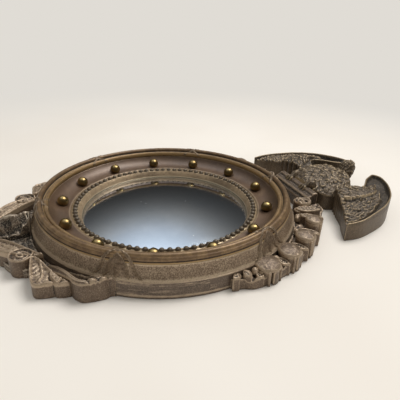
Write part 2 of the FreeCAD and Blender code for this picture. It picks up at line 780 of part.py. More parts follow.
# ---------------------------------------------------------------- dowels
def ornament_dowels():
    """Pegs between the base ring, the backings, the plinth and the eagle."""
    height = backing_height / 2
    pegs = []
    for angle in (28.0, 48.0, 132.0, 152.0, -52.0, -90.0, -128.0):
        pegs.append(rod(polar(angle, -dowel_length / 2) + Z * height,
                        polar(angle, dowel_length / 2) + Z * height, dowel_diameter))
    for side in (-1, 1):
        end = eagle_point(side * plinth_half_length, plinth_depth * 0.6) + Z * height
        reach = Vector(dowel_length * 0.35, 0, 0)
        pegs.append(rod(end - reach, end + reach, dowel_diameter))
        foot = eagle_point(side * 12, plinth_depth) + Z * height
        pegs.append(rod(foot - Vector(0, dowel_length / 2, 0), foot + Vector(0, dowel_length / 2, 0),
                        dowel_diameter))
    return pegs


# ---------------------------------------------------------------- assembly
def build():
    nodes = {}
    flange = make_back_flange()
    cove = make_cove_ring()
    moulding = make_reeded_moulding()
    balls, pegs = make_ball_studs(cove)
    board_screws = make_backboard_screws()
    hanger_screws = make_hanger_screws()
    dowels = ornament_dowels()
    wall = Part.makeCylinder(flange_radius, 4 * crest_height)

    nodes["back_flange"] = without(flange, *(pegs + board_screws + hanger_screws + dowels))
    frieze = make_stippled_frieze()
    nodes["stippled_frieze"] = frieze
    nodes["reeded_moulding"] = moulding
    nodes["ribbon_ties"] = make_ribbon_ties(moulding, frieze)
    nodes["cove_ring"] = without(cove, *pegs)
    nodes["ball_studs"] = balls
    nodes["sight_ring"] = make_sight_ring()
    nodes["bead_ring"] = make_bead_ring()
    nodes["convex_glass"] = make_convex_glass()
    nodes["silver_coat"] = make_silver_coat()
    nodes["glass_spacer"] = make_glass_spacer()
    nodes["backboard"] = without(make_backboard(), *board_screws)
    nodes["backboard_screws"] = Part.makeCompound(board_screws)
    nodes["hanger_plate"] = without(make_hanger_plate(), *hanger_screws)
    nodes["hanger_screws"] = Part.makeCompound(hanger_screws)
    nodes["hanging_ring"] = make_hanging_ring()
    nodes["ornament_dowels"] = Part.makeCompound(dowels)

    plinth = make_eagle_plinth()
    body = make_eagle_body()
    head = make_eagle_head()
    legs = [leg.cut(plinth).cut(body).removeSplitter() for leg in make_eagle_legs()]
    wing = make_wing(body)
    swag = without(make_swag_backing(), wall, plinth, body, wing, *dowels)
    bracket = without(make_plinth_bracket(), plinth)
    acorns = [without(make_acorn(index), wall) for index in range(acorn_count)]
    nodes["eagle_plinth"] = without(plinth, *dowels)
    nodes["eagle_body"] = without(body, head, *dowels)
    nodes["eagle_head"] = head
    nodes["eagle_legs"] = Part.makeCompound(legs)

    berries = [without(berry, wall, *acorns) for berry in make_berries()]
    taken = acorns + berries + [bracket]
    leaves = []
    for leaf in make_swag_leaves():
        leaf = without(leaf, wall, plinth, body, *taken)
        leaves.extend(solid for solid in leaf.Solids if solid.Volume > 20.0)
        taken.append(leaf)

    base = without(raised(pendant_plan(), 0, backing_height), wall, *pendant_pockets())
    whole_base = without(base.fuse(mirrored(base)).removeSplitter(), *dowels)
    ridge = without(make_ridge(), wall)
    volute = without(make_volute(), wall)
    c_scroll = without(make_c_scroll(), wall, volute)
    corner = without(make_corner_leaf(), wall, volute, c_scroll)
    long_leaf = without(make_long_leaf(), wall, ridge, volute, c_scroll, corner)

    nodes["pendant_backing"] = whole_base
    nodes["pendant_ridge"] = ridge
    right = {
        "wing": wing, "wing_feathers": Part.makeCompound(make_wing_feathers(wing)),
        "plinth_bracket": bracket, "swag_backing": swag, "swag_leaves": Part.makeCompound(leaves),
        "acorns": Part.makeCompound(acorns), "berries": Part.makeCompound(berries),
        "c_scroll": c_scroll, "corner_leaf": corner, "volute": volute, "long_leaf": long_leaf}
    for name, shape in right.items():
        nodes[name + "_right"] = shape
        nodes[name + "_left"] = mirrored(shape)
    return nodes


for node, shape in build().items():
    shape.exportStep("parts/" + node + ".step")
    box = shape.BoundBox
    print("%-22s %3d solids %9.0f mm3  x %.0f..%.0f  y %.0f..%.0f  z %.1f..%.1f%s" % (
        node, len(shape.Solids), shape.Volume, box.XMin, box.XMax, box.YMin, box.YMax,
        box.ZMin, box.ZMax, "" if shape.isValid() else "  INVALID"))
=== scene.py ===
# %% [markdown]
# # A girandole mirror lying on its back
# This lesson dresses a measured frame with the finish of an old bronzed mirror. The construction comes
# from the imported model, so every piece made here takes its place and size from there. The carved
# ornament is made as relief: a plan outline, a height at every point of it, and upright walls, because
# the real thing is pressed in a mould and has no undercuts.

# %% The frame and the box it fills
import math

import bmesh
import bpy
import numpy as np
from mathutils import Matrix, Vector
from mathutils.geometry import delaunay_2d_cdt


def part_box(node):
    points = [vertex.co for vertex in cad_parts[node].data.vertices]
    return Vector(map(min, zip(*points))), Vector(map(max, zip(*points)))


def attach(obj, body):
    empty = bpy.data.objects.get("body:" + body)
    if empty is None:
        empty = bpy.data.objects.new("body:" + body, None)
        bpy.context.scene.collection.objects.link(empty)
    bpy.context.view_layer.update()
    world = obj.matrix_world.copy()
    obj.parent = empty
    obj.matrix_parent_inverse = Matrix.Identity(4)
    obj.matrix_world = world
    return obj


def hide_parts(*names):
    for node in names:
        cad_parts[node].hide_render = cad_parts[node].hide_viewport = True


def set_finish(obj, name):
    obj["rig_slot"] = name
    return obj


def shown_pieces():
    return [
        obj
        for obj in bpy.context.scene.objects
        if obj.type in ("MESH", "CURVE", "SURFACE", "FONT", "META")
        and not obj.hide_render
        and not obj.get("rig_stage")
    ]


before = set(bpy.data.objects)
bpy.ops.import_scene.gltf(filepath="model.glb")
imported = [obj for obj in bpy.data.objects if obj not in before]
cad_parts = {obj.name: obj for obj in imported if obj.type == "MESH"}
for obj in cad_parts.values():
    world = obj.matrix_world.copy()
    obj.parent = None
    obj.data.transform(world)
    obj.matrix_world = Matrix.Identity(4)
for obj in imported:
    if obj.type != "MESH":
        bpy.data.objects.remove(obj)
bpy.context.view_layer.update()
MM = 0.001


def corners_mm(node):
    low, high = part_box(node)
    return np.array(low) / MM, np.array(high) / MM


# %% [markdown]
# The ring's radii and heights are read from the frame's boxes, in millimetres. Everything else is
# placed by two rulers: an angle and a distance beyond the ring's wall for what hugs the ring, and a
# point measured from the foot of the plinth for the eagle.

# %% Sizes read from the frame
FLANGE_RADIUS = corners_mm("back_flange")[1][0]
FLANGE_TOP = corners_mm("back_flange")[1][2]
FRIEZE_TOP = corners_mm("stippled_frieze")[1][2]
CREST = corners_mm("reeded_moulding")[1][2]
COVE_LIP = corners_mm("cove_ring")[1][2]
PLINTH_FOOT = corners_mm("eagle_plinth")[0][1]
PLINTH_TOP = corners_mm("eagle_plinth")[1]
PENDANT_TIP = -corners_mm("pendant_backing")[0][1] - FLANGE_RADIUS
print("flange", FLANGE_RADIUS, "crest", CREST, "plinth foot", PLINTH_FOOT, "tip", PENDANT_TIP)


def polar(angle, beyond):
    reach = FLANGE_RADIUS + beyond
    return np.array((reach * math.cos(math.radians(angle)), reach * math.sin(math.radians(angle))))


def eagle_point(x, y):
    return np.array((x, PLINTH_FOOT + y))


# %% [markdown]
# ## Lines, outlines and noise
# A smooth line through a few chosen points is enough for every outline and every feather. The noise
# is a small lattice noise, seeded by a fixed formula, so the piece comes out the same each time.

# %% Helpers for lines and noise
def smooth_line(points, steps=14):
    """A Catmull-Rom line through plan points."""
    p = np.array([points[0]] + list(points) + [points[-1]], float)
    out = []
    for a, b, c, d in zip(p, p[1:], p[2:], p[3:]):
        t = np.linspace(0, 1, steps, endpoint=False)[:, None]
        out.append(0.5 * (2 * b + (c - a) * t + (2 * a - 5 * b + 4 * c - d) * t ** 2
                          + (3 * b - a - 3 * c + d) * t ** 3))
    return np.vstack(out + [p[-1][None]])


def pairs(x, y):
    return np.stack([x, y], -1)


def left_of(steps):
    """Lines of length one that point square to the left of plan steps."""
    left = pairs(-steps[..., 1], steps[..., 0])
    return left / np.maximum(np.linalg.norm(left, axis=-1, keepdims=True), 1e-9)


def line_length(line):
    return np.linalg.norm(np.diff(line, axis=0), axis=1).sum()


def evenly(line, spacing):
    """The same line with points at even steps along it, ends kept."""
    steps = np.linalg.norm(np.diff(line, axis=0), axis=1)
    along = np.concatenate([[0], np.cumsum(steps)])
    count = max(2, int(round(along[-1] / spacing)) + 1)
    at = np.linspace(0, along[-1], count)
    return np.stack([np.interp(at, along, line[:, k]) for k in range(line.shape[1])], 1)


def outline(stretches, spacing):
    """A closed outline: smooth stretches that meet at corners."""
    parts = [evenly(smooth_line(s) if len(s) > 2 else np.array(s, float), spacing)[:-1]
             for s in stretches]
    return np.vstack(parts)


def lattice(ix, iy, seed):
    value = np.sin(ix * 127.1 + iy * 311.7 + seed * 74.7) * 43758.5453
    return value - np.floor(value)


def noise(x, y, size, seed=0.0):
    """Smooth noise from -1 to 1 with features about `size` across."""
    fx, fy = x / size, y / size
    ix, iy = np.floor(fx), np.floor(fy)
    u, v = fx - ix, fy - iy
    u, v = u * u * (3 - 2 * u), v * v * (3 - 2 * v)
    low = lattice(ix, iy, seed) * (1 - u) + lattice(ix + 1, iy, seed) * u
    high = lattice(ix, iy + 1, seed) * (1 - u) + lattice(ix + 1, iy + 1, seed) * u
    return 2 * (low * (1 - v) + high * v) - 1


def smoothstep(low, high, x):
    t = np.clip((x - low) / (high - low), 0, 1)
    return t * t * (3 - 2 * t)


def hump(x, width):
    """One where x is nought, falling away softly to both sides."""
    return np.exp(-(x / width) ** 2)


def on_circle(centre, radius, radians):
    return np.array(centre) + pairs(radius * np.cos(radians), radius * np.sin(radians))


def other_side(line):
    """The line mirrored to the left half, running on from where the right half ends."""
    return (line * (-1, 1))[::-1]


# %% [markdown]
# ## From arrays to a piece
# Every mesh made here ends in `piece` or in `seat`: it is scaled from millimetres to metres and shaded
# smooth, and then says which part of the frame it moves with and stands for.

# %% Making and seating a piece
def add_object(name, data):
    obj = bpy.data.objects.new(name, data)
    bpy.context.scene.collection.objects.link(obj)
    return obj


def add_mesh(name, verts, faces):
    """An object from arrays in millimetres."""
    mesh = bpy.data.meshes.new(name)
    mesh.from_pydata((np.asarray(verts, float) * MM).tolist(), [], [list(map(int, f)) for f in faces])
    mesh.update()
    return add_object(name, mesh)


def add_bmesh(name, bm):
    mesh = bpy.data.meshes.new(name)
    bm.to_mesh(mesh)
    bm.free()
    return add_object(name, mesh)


def shade_smooth(obj):
    for polygon in obj.data.polygons:
        polygon.use_smooth = True


def read_points(mesh, key):
    values = np.empty(len(mesh.vertices) * 3)
    mesh.vertices.foreach_get(key, values)
    return values.reshape(-1, 3)


def piece(name, verts, faces, body="frame", replaces=(), slot="carved_bronze"):
    return seat(add_mesh(name, verts, faces), body, replaces, slot)


def seat(obj, body="frame", replaces=(), slot="carved_bronze"):
    shade_smooth(obj)
    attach(obj, body)
    if replaces:
        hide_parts(*replaces)
    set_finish(obj, slot)
    return obj


def mirror_arrays(verts, faces):
    verts = np.array(verts, float)
    verts[:, 0] *= -1
    return verts, [tuple(reversed(f)) for f in faces]


# %% [markdown]
# ## Wear follows the form
# Bronze paint is rubbed off where a hand or a cloth touches, and dirt stays in the hollows. Both can
# be measured on the mesh itself: each vertex is compared with the smoothed surface round it. What
# stands proud gets a high `rub`, what lies deep a high `hollow`, and the paint reads the two values.
# The dark of the hollows is dirt and also painted shade, in place of the shade that falls there.

# %% Measuring wear on a mesh
def add_wear(obj, near=0.22, far=0.75, passes=(3, 14), lift=None):
    """Writes rub and hollow. near and far are the heights, in mm, that count as full wear on the fine
    and the broad smoothing; lift is a rule of the places that adds to the rub, or takes from it."""
    mesh = obj.data
    count = len(mesh.vertices)
    co, normal = read_points(mesh, "co") / MM, read_points(mesh, "normal")
    edge = np.empty(len(mesh.edges) * 2, int)
    mesh.edges.foreach_get("vertices", edge)
    a, b = edge.reshape(-1, 2).T
    degree = np.bincount(a, minlength=count) + np.bincount(b, minlength=count)
    degree = np.maximum(degree, 1)[:, None]
    soft = co.copy()
    proud = []
    for index in range(passes[1]):
        total = np.stack([np.bincount(a, soft[b, k], count) + np.bincount(b, soft[a, k], count)
                          for k in range(3)], 1)
        soft = 0.5 * soft + 0.5 * total / degree
        if index + 1 in passes:
            proud.append(((co - soft) * normal).sum(1))
    fine, broad = proud
    height = fine / near + broad / far
    if lift is not None:
        height = height + 2 * lift(*co.T)
    foot = smoothstep(0.5, 4.0, co[:, 2])            # nobody rubs the edge that lies on the table
    values = {"rub": np.clip(height * 0.5, 0, 1) * foot, "hollow": np.clip(-height * 0.5, 0, 1)}
    for key, value in values.items():
        layer = mesh.attributes.get(key) or mesh.attributes.new(key, "FLOAT", "POINT")
        layer.data.foreach_set("value", value.astype(np.float32))
    return obj

# %% [markdown]
# ## The shop table, the light and the camera
# The mirror lies flat on its back on a pale table and is seen from low down at the pendant's side. One
# large soft lamp stands high on the eagle's side, and an even white world fills the shadows. A mirror
# shows what stands round it, so a dome that only glossy rays can see gives it something to show: a
# dim wall low down, and a cool bright ceiling above.

# %% Camera
def unit(v):
    return np.array(v, float) / np.linalg.norm(v)


CAMERA_PLACE = (0.3825, -0.1020, 0.2153)
CAMERA_ROLL = math.radians(1.486)
forward = unit((-0.842, 0.3133, -0.4389))
level_right = unit(np.cross(forward, (0, 0, 1)))
level_up = np.cross(level_right, forward)
right = math.cos(CAMERA_ROLL) * level_right + math.sin(CAMERA_ROLL) * level_up
up = -math.sin(CAMERA_ROLL) * level_right + math.cos(CAMERA_ROLL) * level_up

camera_data = bpy.data.cameras.new("photograph_camera")
camera_data.lens = 35.8
camera_data.sensor_width = 36.0
camera_data.clip_start = 0.01
camera = add_object("photograph_camera", camera_data)
turn = Matrix((right, up, -forward)).transposed().to_4x4()
camera.matrix_world = Matrix.Translation(CAMERA_PLACE) @ turn
bpy.context.scene.camera = camera
bpy.context.scene.view_settings.view_transform = "Standard"
print("camera at", CAMERA_PLACE)

# %% Small helpers for nodes
def node(tree, kind, **settings):
    made = tree.nodes.new(kind)
    for key, value in settings.items():
        setattr(made, key, value)
    return made


def wire(tree, value, socket):
    """Joins an output to a socket, or writes a plain value into it."""
    if isinstance(value, Field):
        value = value.socket
    if isinstance(value, bpy.types.NodeSocket):
        tree.links.new(value, socket)
    else:
        socket.default_value = value


def feed(tree, made, **values):
    """Wires values to a node's inputs by name, with _ for a space."""
    for key, value in values.items():
        wire(tree, value, made.inputs[key.replace("_", " ")])
    return made


class Field:
    """A node's output that can be reckoned with: each sign between two fields makes a Math node."""

    def __init__(self, tree, socket):
        self.tree, self.socket = tree, socket

    def maths(self, operation, first, second, clamp=False):
        made = node(self.tree, "ShaderNodeMath", operation=operation, use_clamp=clamp)
        wire(self.tree, first, made.inputs[0])
        wire(self.tree, second, made.inputs[1])
        return Field(self.tree, made.outputs[0])

    def __add__(self, other):
        return self.maths("ADD", self, other)

    def __mul__(self, other):
        return self.maths("MULTIPLY", self, other)

    def __sub__(self, other):
        return self.maths("SUBTRACT", self, other)

    def __rsub__(self, other):
        return self.maths("SUBTRACT", other, self)

    def __rtruediv__(self, other):
        return self.maths("DIVIDE", other, self)

    def __pow__(self, other):
        return self.maths("POWER", self, other)

    def most(self, other):
        return self.maths("MAXIMUM", self, other)

    def spread(self, low, high, to_low=0.0, to_high=1.0):
        """Eased from one range to another; a range given from high to low turns it round."""
        made = node(self.tree, "ShaderNodeMapRange", interpolation_type="SMOOTHSTEP")
        for socket, item in zip(made.inputs, (self, low, high, to_low, to_high)):
            wire(self.tree, item, socket)
        return Field(self.tree, made.outputs[0])


def mix_colour(tree, share, a, b):
    made = node(tree, "ShaderNodeMix", data_type="RGBA")
    for index, item in ((0, share), (6, a), (7, b)):
        wire(tree, item, made.inputs[index])
    return made.outputs[2]


def object_place(tree):
    return node(tree, "ShaderNodeTexCoord").outputs["Object"]


def cloud(tree, place, size_mm, detail=3.0, roughness=0.55):
    made = feed(tree, node(tree, "ShaderNodeTexNoise"), Vector=place, Scale=1.0 / (size_mm * MM),
                Detail=detail, Roughness=roughness)
    return Field(tree, made.outputs["Fac"])


def flecks(tree, place, cell_mm, rim, core, chosen):
    """Small round spots, one in some of the cells; chosen says in how many."""
    made = feed(tree, node(tree, "ShaderNodeTexVoronoi", feature="F1"), Vector=place,
                Scale=1 / (cell_mm * MM))
    dot = Field(tree, made.outputs["Distance"]).spread(rim, core)
    return dot, dot * chosen


def seen_ray(tree):
    """One for rays that look at a thing, whether straight, in a mirror or through glass."""
    path = node(tree, "ShaderNodeLightPath").outputs
    return Field(tree, path["Is Camera Ray"]).most(path["Is Glossy Ray"]).most(path["Is Transmission Ray"])


def srgb(red, green, blue):
    """A colour as it looks on screen, 0 to 255, made linear."""
    out = []
    for channel in (red, green, blue):
        c = channel / 255
        out.append(c / 12.92 if c <= 0.04045 else ((c + 0.055) / 1.055) ** 2.4)
    return (*out, 1.0)


# %% Table and backdrop dome
def new_material(name):
    made = bpy.data.materials.new(name)
    made.use_nodes = True
    tree = made.node_tree
    return made, tree, tree.nodes["Principled BSDF"], tree.nodes["Material Output"]


BACKDROP = (224, 220, 213)
TABLE_TONES = (238, 234, 228), (242, 239, 234)
TABLE_FADES = 0.26, 0.80           # metres from the middle at which the table starts and ends to fade


def table_material():
    """Pale table; far from the mirror the camera sees it fade into the plain backdrop."""
    made, tree, shader, out = new_material("pale_table")
    place = object_place(tree)
    tone = cloud(tree, place, 260, detail=2.0).spread(0.35, 0.65)
    feed(tree, shader, Base_Color=mix_colour(tree, tone, *(srgb(*c) for c in TABLE_TONES)),
         Roughness=0.75, Specular_IOR_Level=0.2)
    away = node(tree, "ShaderNodeVectorMath", operation="LENGTH")
    wire(tree, place, away.inputs[0])
    plain = feed(tree, node(tree, "ShaderNodeEmission"), Color=srgb(*BACKDROP))
    both = node(tree, "ShaderNodeMixShader")
    far = Field(tree, away.outputs["Value"]).spread(*TABLE_FADES) * seen_ray(tree)
    for socket, item in zip(both.inputs, (far, shader.outputs[0], plain.outputs[0])):
        wire(tree, item, socket)
    wire(tree, both.outputs[0], out.inputs["Surface"])
    return made


def add_stage(name, bm, material):
    obj = add_bmesh(name, bm)
    obj.data.materials.append(material)
    obj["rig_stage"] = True
    return obj


TABLE_HALF, TABLE_DROP, DOME_RADIUS = 14, 0.0002, 5
bm = bmesh.new()
bmesh.ops.create_grid(bm, x_segments=1, y_segments=1, size=TABLE_HALF)
table = add_stage("table", bm, table_material())
table.location.z = -TABLE_DROP

WINDOW_WAY = (-0.289, -0.032, 0.957)
WINDOW_GLOW, WINDOW_EDGE = 1.55, 9.5       # a higher edge makes the window smaller
SKY_GLOW, WALL_GLOW = 0.10, 0.012
WARM, COOL = (1.03, 1.0, 0.95, 1.0), (0.93, 1.0, 1.09, 1.0)


def dome_material():
    """Dim walls and one broad cool window in the ceiling, nearly overhead and towards the left."""
    made = bpy.data.materials.new("room_dome")
    made.use_nodes = True
    tree = made.node_tree
    tree.nodes.clear()
    ray = node(tree, "ShaderNodeVectorMath", operation="NORMALIZE")
    wire(tree, object_place(tree), ray.inputs[0])
    parts = node(tree, "ShaderNodeSeparateXYZ")
    wire(tree, ray.outputs[0], parts.inputs[0])
    facing = node(tree, "ShaderNodeVectorMath", operation="DOT_PRODUCT")
    wire(tree, ray.outputs[0], facing.inputs[0])
    wire(tree, WINDOW_WAY, facing.inputs[1])
    window = Field(tree, facing.outputs["Value"]).most(0.0) ** WINDOW_EDGE
    level = window * WINDOW_GLOW + Field(tree, parts.outputs["Z"]).most(0.0) * SKY_GLOW + WALL_GLOW
    glow = feed(tree, node(tree, "ShaderNodeEmission"), Strength=level,
                Color=mix_colour(tree, level.spread(0.1, 1.0), WARM, COOL))
    wire(tree, glow.outputs[0], node(tree, "ShaderNodeOutputMaterial").inputs[0])
    return made


bm = bmesh.new()
bmesh.ops.create_uvsphere(bm, u_segments=48, v_segments=24, radius=DOME_RADIUS)
below = [v for v in bm.verts if v.co.z < -0.2]
bmesh.ops.delete(bm, geom=below, context="VERTS")
dome = add_stage("room_dome", bm, dome_material())
for kind in ("camera", "diffuse", "transmission", "volume_scatter", "shadow"):
    setattr(dome, "visible_" + kind, False)

# %% World and lamp
WORLD_LIGHT = 0.70                # what lights the mirror; rays that look at the world see it at 1
LAMP_SIZE, LAMP_ENERGY = 1.3, 31.0
world = bpy.data.worlds.new("even_white")
bpy.context.scene.world = world
world.use_nodes = True
tree = world.node_tree
tree.nodes.clear()
strength = node(tree, "ShaderNodeMix", data_type="FLOAT")
for index, item in ((0, seen_ray(tree)), (2, WORLD_LIGHT), (3, 1.0)):
    wire(tree, item, strength.inputs[index])
background = feed(tree, node(tree, "ShaderNodeBackground"), Color=srgb(*BACKDROP),
                  Strength=strength.outputs[0])
wire(tree, background.outputs[0], node(tree, "ShaderNodeOutputWorld").inputs[0])

lamp_data = bpy.data.lights.new("soft_lamp", "AREA")
lamp_data.shape = "DISK"
lamp_data.size = LAMP_SIZE
lamp_data.energy = LAMP_ENERGY
lamp_data.color = (1.0, 0.965, 0.92)
lamp = add_object("soft_lamp", lamp_data)
lamp.location = (-0.15, 1.00, 1.95)
lamp.rotation_euler = (-lamp.location).to_track_quat("-Z", "Y").to_euler()
print("stage and light are set")

# %% [markdown]
# ## Bronzed finishes
# The frame is moulded in one plain stuff and then painted: a dark brown ground, a bronze coat, a rag
# of pale gold dragged over what stands proud, and the dust of years in the hollows. The hollows are
# also darkened with painted shade, where shade would fall. One node group does all of that, and each
# finish only gives it other colours and amounts.

# %% The shared finish: aged bronze
def build_aged_bronze():
    group = bpy.data.node_groups.new("aged_bronze", "ShaderNodeTree")
    interface = group.interface
    for name, kind, value in (
            ("Ground", "NodeSocketColor", srgb(44, 37, 30)), ("Coat", "NodeSocketColor", srgb(98, 85, 68)),
            ("Rubbed", "NodeSocketColor", srgb(170, 152, 122)), ("Rub", "NodeSocketFloat", 1.0),
            ("Grime", "NodeSocketFloat", 1.0), ("Dust", "NodeSocketFloat", 0.3),
            ("Patches", "NodeSocketFloat", 0.5), ("Grain", "NodeSocketFloat", 0.5),
            ("Speckle", "NodeSocketFloat", 0.0)):
        socket = interface.new_socket(name, in_out="INPUT", socket_type=kind)
        socket.default_value = value
    interface.new_socket("Colour", in_out="OUTPUT", socket_type="NodeSocketColor")
    for name in ("Roughness", "Height", "Metal"):
        interface.new_socket(name, in_out="OUTPUT", socket_type="NodeSocketFloat")
    given = node(group, "NodeGroupInput").outputs
    result = node(group, "NodeGroupOutput")
    place = object_place(group)
    rub, hollow = (Field(group, node(group, "ShaderNodeAttribute", attribute_name=key).outputs["Fac"])
                   for key in ("rub", "hollow"))
    broad = cloud(group, place, 34, detail=4, roughness=0.6)
    middle = cloud(group, place, 6.5, detail=5, roughness=0.65)
    fine = cloud(group, place, 1.3, detail=4, roughness=0.7)
    tiny = cloud(group, place, 0.9, detail=2, roughness=0.6)

    def mix(share, a, b):
        return mix_colour(group, share, a, b)

    darker = mix(0.55, given["Coat"], given["Ground"])
    paler = mix(0.35, given["Coat"], given["Rubbed"])
    base = mix(broad.spread(0.38, 0.66) * given["Patches"], given["Coat"], darker)
    warm = mix(middle.spread(0.42, 0.72) * 0.30, base, paler)

    # The hollows are darkened towards the ground colour: dirt, and painted shade where shade would fall.
    deep = (hollow * given["Grime"] + fine.spread(0.52, 0.30) * 0.22).spread(0.05, 0.85)
    grimy_and_shaded = mix(deep, warm, given["Ground"])

    drag = (rub * given["Rub"] + (middle - 0.5) * 0.7).spread(0.10, 0.75) * rub.spread(0.02, 0.22)
    rubbed = mix(drag, grimy_and_shaded, given["Rubbed"])
    # Pale and dark specks: grain, and the pale specks also stand in for tiny glints, a painted highlight.
    rubbed = mix(tiny.spread(0.50, 0.66) * given["Speckle"] * 0.8, rubbed, given["Rubbed"])
    rubbed = mix(tiny.spread(0.44, 0.32) * given["Speckle"] * 0.7, rubbed, given["Ground"])

    dot, some = flecks(group, place, 1.7, 0.17, 0.08, cloud(group, place, 9, detail=3).spread(0.50, 0.66))
    dust = some * given["Dust"]
    metal = 0.38 - deep * 0.3
    feed(group, result, Colour=mix(dust, rubbed, srgb(168, 160, 146)),
         Roughness=deep * 0.28 + middle * 0.20 - drag * 0.12 + 0.36,
         Metal=metal.maths("SUBTRACT", metal, dust, clamp=True),
         Height=fine * given["Grain"] + middle * 0.6 - dot * 0.15)
    return group


AGED_BRONZE = build_aged_bronze()


def aged_bronze(tree, ground, coat, rubbed, **amounts):
    """The shared finish placed in a material, with its colours as they look on screen."""
    finish = node(tree, "ShaderNodeGroup", node_tree=AGED_BRONZE)
    return feed(tree, finish, Ground=srgb(*ground), Coat=srgb(*coat), Rubbed=srgb(*rubbed), **amounts)


def bronze(name, colours, rub, grime, dust, patches, grain, bump_mm, speckle, coat_weight=0.15):
    made, tree, shader, _ = new_material(name)
    finish = aged_bronze(tree, *colours, Rub=rub, Grime=grime, Dust=dust, Patches=patches,
                         Grain=grain, Speckle=speckle).outputs
    bump = feed(tree, node(tree, "ShaderNodeBump"), Strength=0.8, Distance=bump_mm * MM,
                Height=finish["Height"])
    feed(tree, shader, Base_Color=finish["Colour"], Roughness=finish["Roughness"], Metallic=finish["Metal"],
         Normal=bump.outputs["Normal"], Coat_Weight=coat_weight, Coat_Roughness=0.38)
    return made


# The second amount darkens the hollows: dirt, and painted shade where shade would fall.
BRONZES = {   # ground, coat and rubbed colour; rub, grime, dust, patches, grain, bump in mm, speckle
    "antiqued_bronze": (((44, 36, 30), (96, 82, 71), (178, 158, 134)), 1.2, 1.3, 0.4, 0.4, 1.0, 0.35, 0.4),
    "stippled_bronze": (((56, 45, 35), (126, 106, 86), (192, 172, 146)), 0.8, 1.0, 0.3, 0.35, 1.0, 0.4, 0.8),
    "tie_bronze": (((46, 37, 29), (108, 89, 69), (156, 136, 110)), 0.45, 1.0, 0.15, 0.4, 0.9, 0.3, 0.6),
    "pendant_bronze": (((36, 30, 24), (110, 94, 78), (188, 174, 154)), 1.15, 1.4, 0.55, 0.5, 1.0, 0.45, 0.95),
    "rubbed_moulding": (((42, 32, 24), (108, 85, 62), (182, 152, 108)), 0.8, 1.2, 0.15, 0.25, 0.4, 0.12,
                        0.15),
    "satin_cove": (((44, 33, 25), (108, 83, 62), (160, 138, 112)), 0.6, 0.8, 0.15, 0.6, 0.35, 0.14,
                   0.15, 0.7),
    "gilt_sight_edge": (((84, 68, 50), (174, 151, 121), (198, 178, 146)), 0.8, 1.0, 0.3, 0.9, 0.8, 0.25, 0.0),
    "bronzed_pearls": (((38, 32, 27), (98, 86, 70), (196, 186, 166)), 1.4, 1.4, 0.2, 0.4, 0.3, 0.12, 0.0),
    "carved_bronze": (((38, 31, 25), (102, 84, 68), (174, 154, 130)), 1.15, 1.4, 0.35, 0.5, 1.0, 0.42, 0.6),
    "feather_bronze": (((40, 33, 26), (88, 74, 58), (164, 144, 114)), 0.85, 1.25, 0.25, 0.6, 1.0, 0.38, 0.5),
}
MATERIALS = {name: bronze(name, *values) for name, values in BRONZES.items()}
print("finishes", sorted(MATERIALS))

# %% [markdown]
# ## Turned rings
# The ring is turned work, so each of its members is a section swept round the axis. A finer sweep
# than the frame's own gives round silhouettes, and lets the stippled slope be real pits and not only
# bump. The sections start from the sizes read above.

# %% A turned piece
def turned(name, section, segments, push=None, **seating):
    """Sweeps a closed section of (radius, height) once round the axis."""
    section = np.asarray(section, float)
    r, z = section.T
    if np.sum(r * np.roll(z, -1) - np.roll(r, -1) * z) < 0:
        section = section[::-1]
    angle = np.linspace(0, 2 * math.pi, segments, endpoint=False)
    radius = np.repeat(section[None, :, 0], segments, 0)
    height = np.repeat(section[None, :, 1], segments, 0)
    theta = np.repeat(angle[:, None], len(section), 1)
    if push is not None:
        step = np.roll(section, -1, 0) - np.roll(section, 1, 0)
        out = -left_of(step)
        amount = push(theta, radius, height)
        radius = radius + amount * out[None, :, 0]
        height = height + amount * out[None, :, 1]
    verts = np.stack([radius * np.cos(theta), radius * np.sin(theta), height], -1).reshape(-1, 3)
    n = len(section)
    i, k = [a.ravel() for a in np.meshgrid(range(segments), range(n), indexing="ij")]
    j, m = (i + 1) % segments, (k + 1) % n
    faces = np.stack([i * n + k, j * n + k, j * n + m, i * n + m], 1)
    return piece(name, verts, faces, **seating)


def bow(start, end, swell, count):
    """Points on a shallow arc between two section points; a positive swell is to the left."""
    start, end = np.array(start, float), np.array(end, float)
    t = np.linspace(0, 1, count)
    chord = end - start
    return start + t[:, None] * chord + (4 * swell * t * (1 - t))[:, None] * left_of(chord)


def half_round(middle, top, radius, count, start=0.0, end=180.0):
    """Part of a circle that touches the height top from below."""
    a = np.radians(np.linspace(start, end, count))
    return np.stack([middle + radius * np.cos(a), top - radius + radius * np.sin(a)], 1)


def join(*runs):
    """Runs of section points put end to end, with doubled points dropped."""
    out = []
    for run in runs:
        for point in np.atleast_2d(run):
            if not out or np.hypot(*(point - out[-1])) > 1e-3:
                out.append(point)
    if np.hypot(*(out[0] - out[-1])) < 1e-3:
        out.pop()
    return np.array(out)


# %% The stippled slope
FRIEZE_FOOT = FLANGE_RADIUS - 0.6
FRIEZE_HEAD = FRIEZE_FOOT - 4.5
MOULDING_INNER = 124.0            # the wall that the moulding and the cove share
SLOPE_HEAD = (FRIEZE_HEAD - 0.6, FRIEZE_TOP + 2.6)       # the slope runs on up to the reeds


def stipple(theta, radius, height):
    on = (smoothstep(FLANGE_TOP + 0.4, FLANGE_TOP + 1.5, height)
          * smoothstep(FRIEZE_TOP + 2.4, FRIEZE_TOP + 1.6, height) * (radius > MOULDING_INNER + 4))
    fine = noise(theta * 137 + 50, height, 0.85, 2.0)
    pits = np.clip(noise(theta * 137, height, 1.5, 1.0), -1, 0.1) + 0.7 * fine
    return on * (0.13 * pits + 0.10 * noise(radius * np.cos(theta), radius * np.sin(theta), 7.0, 3.0))


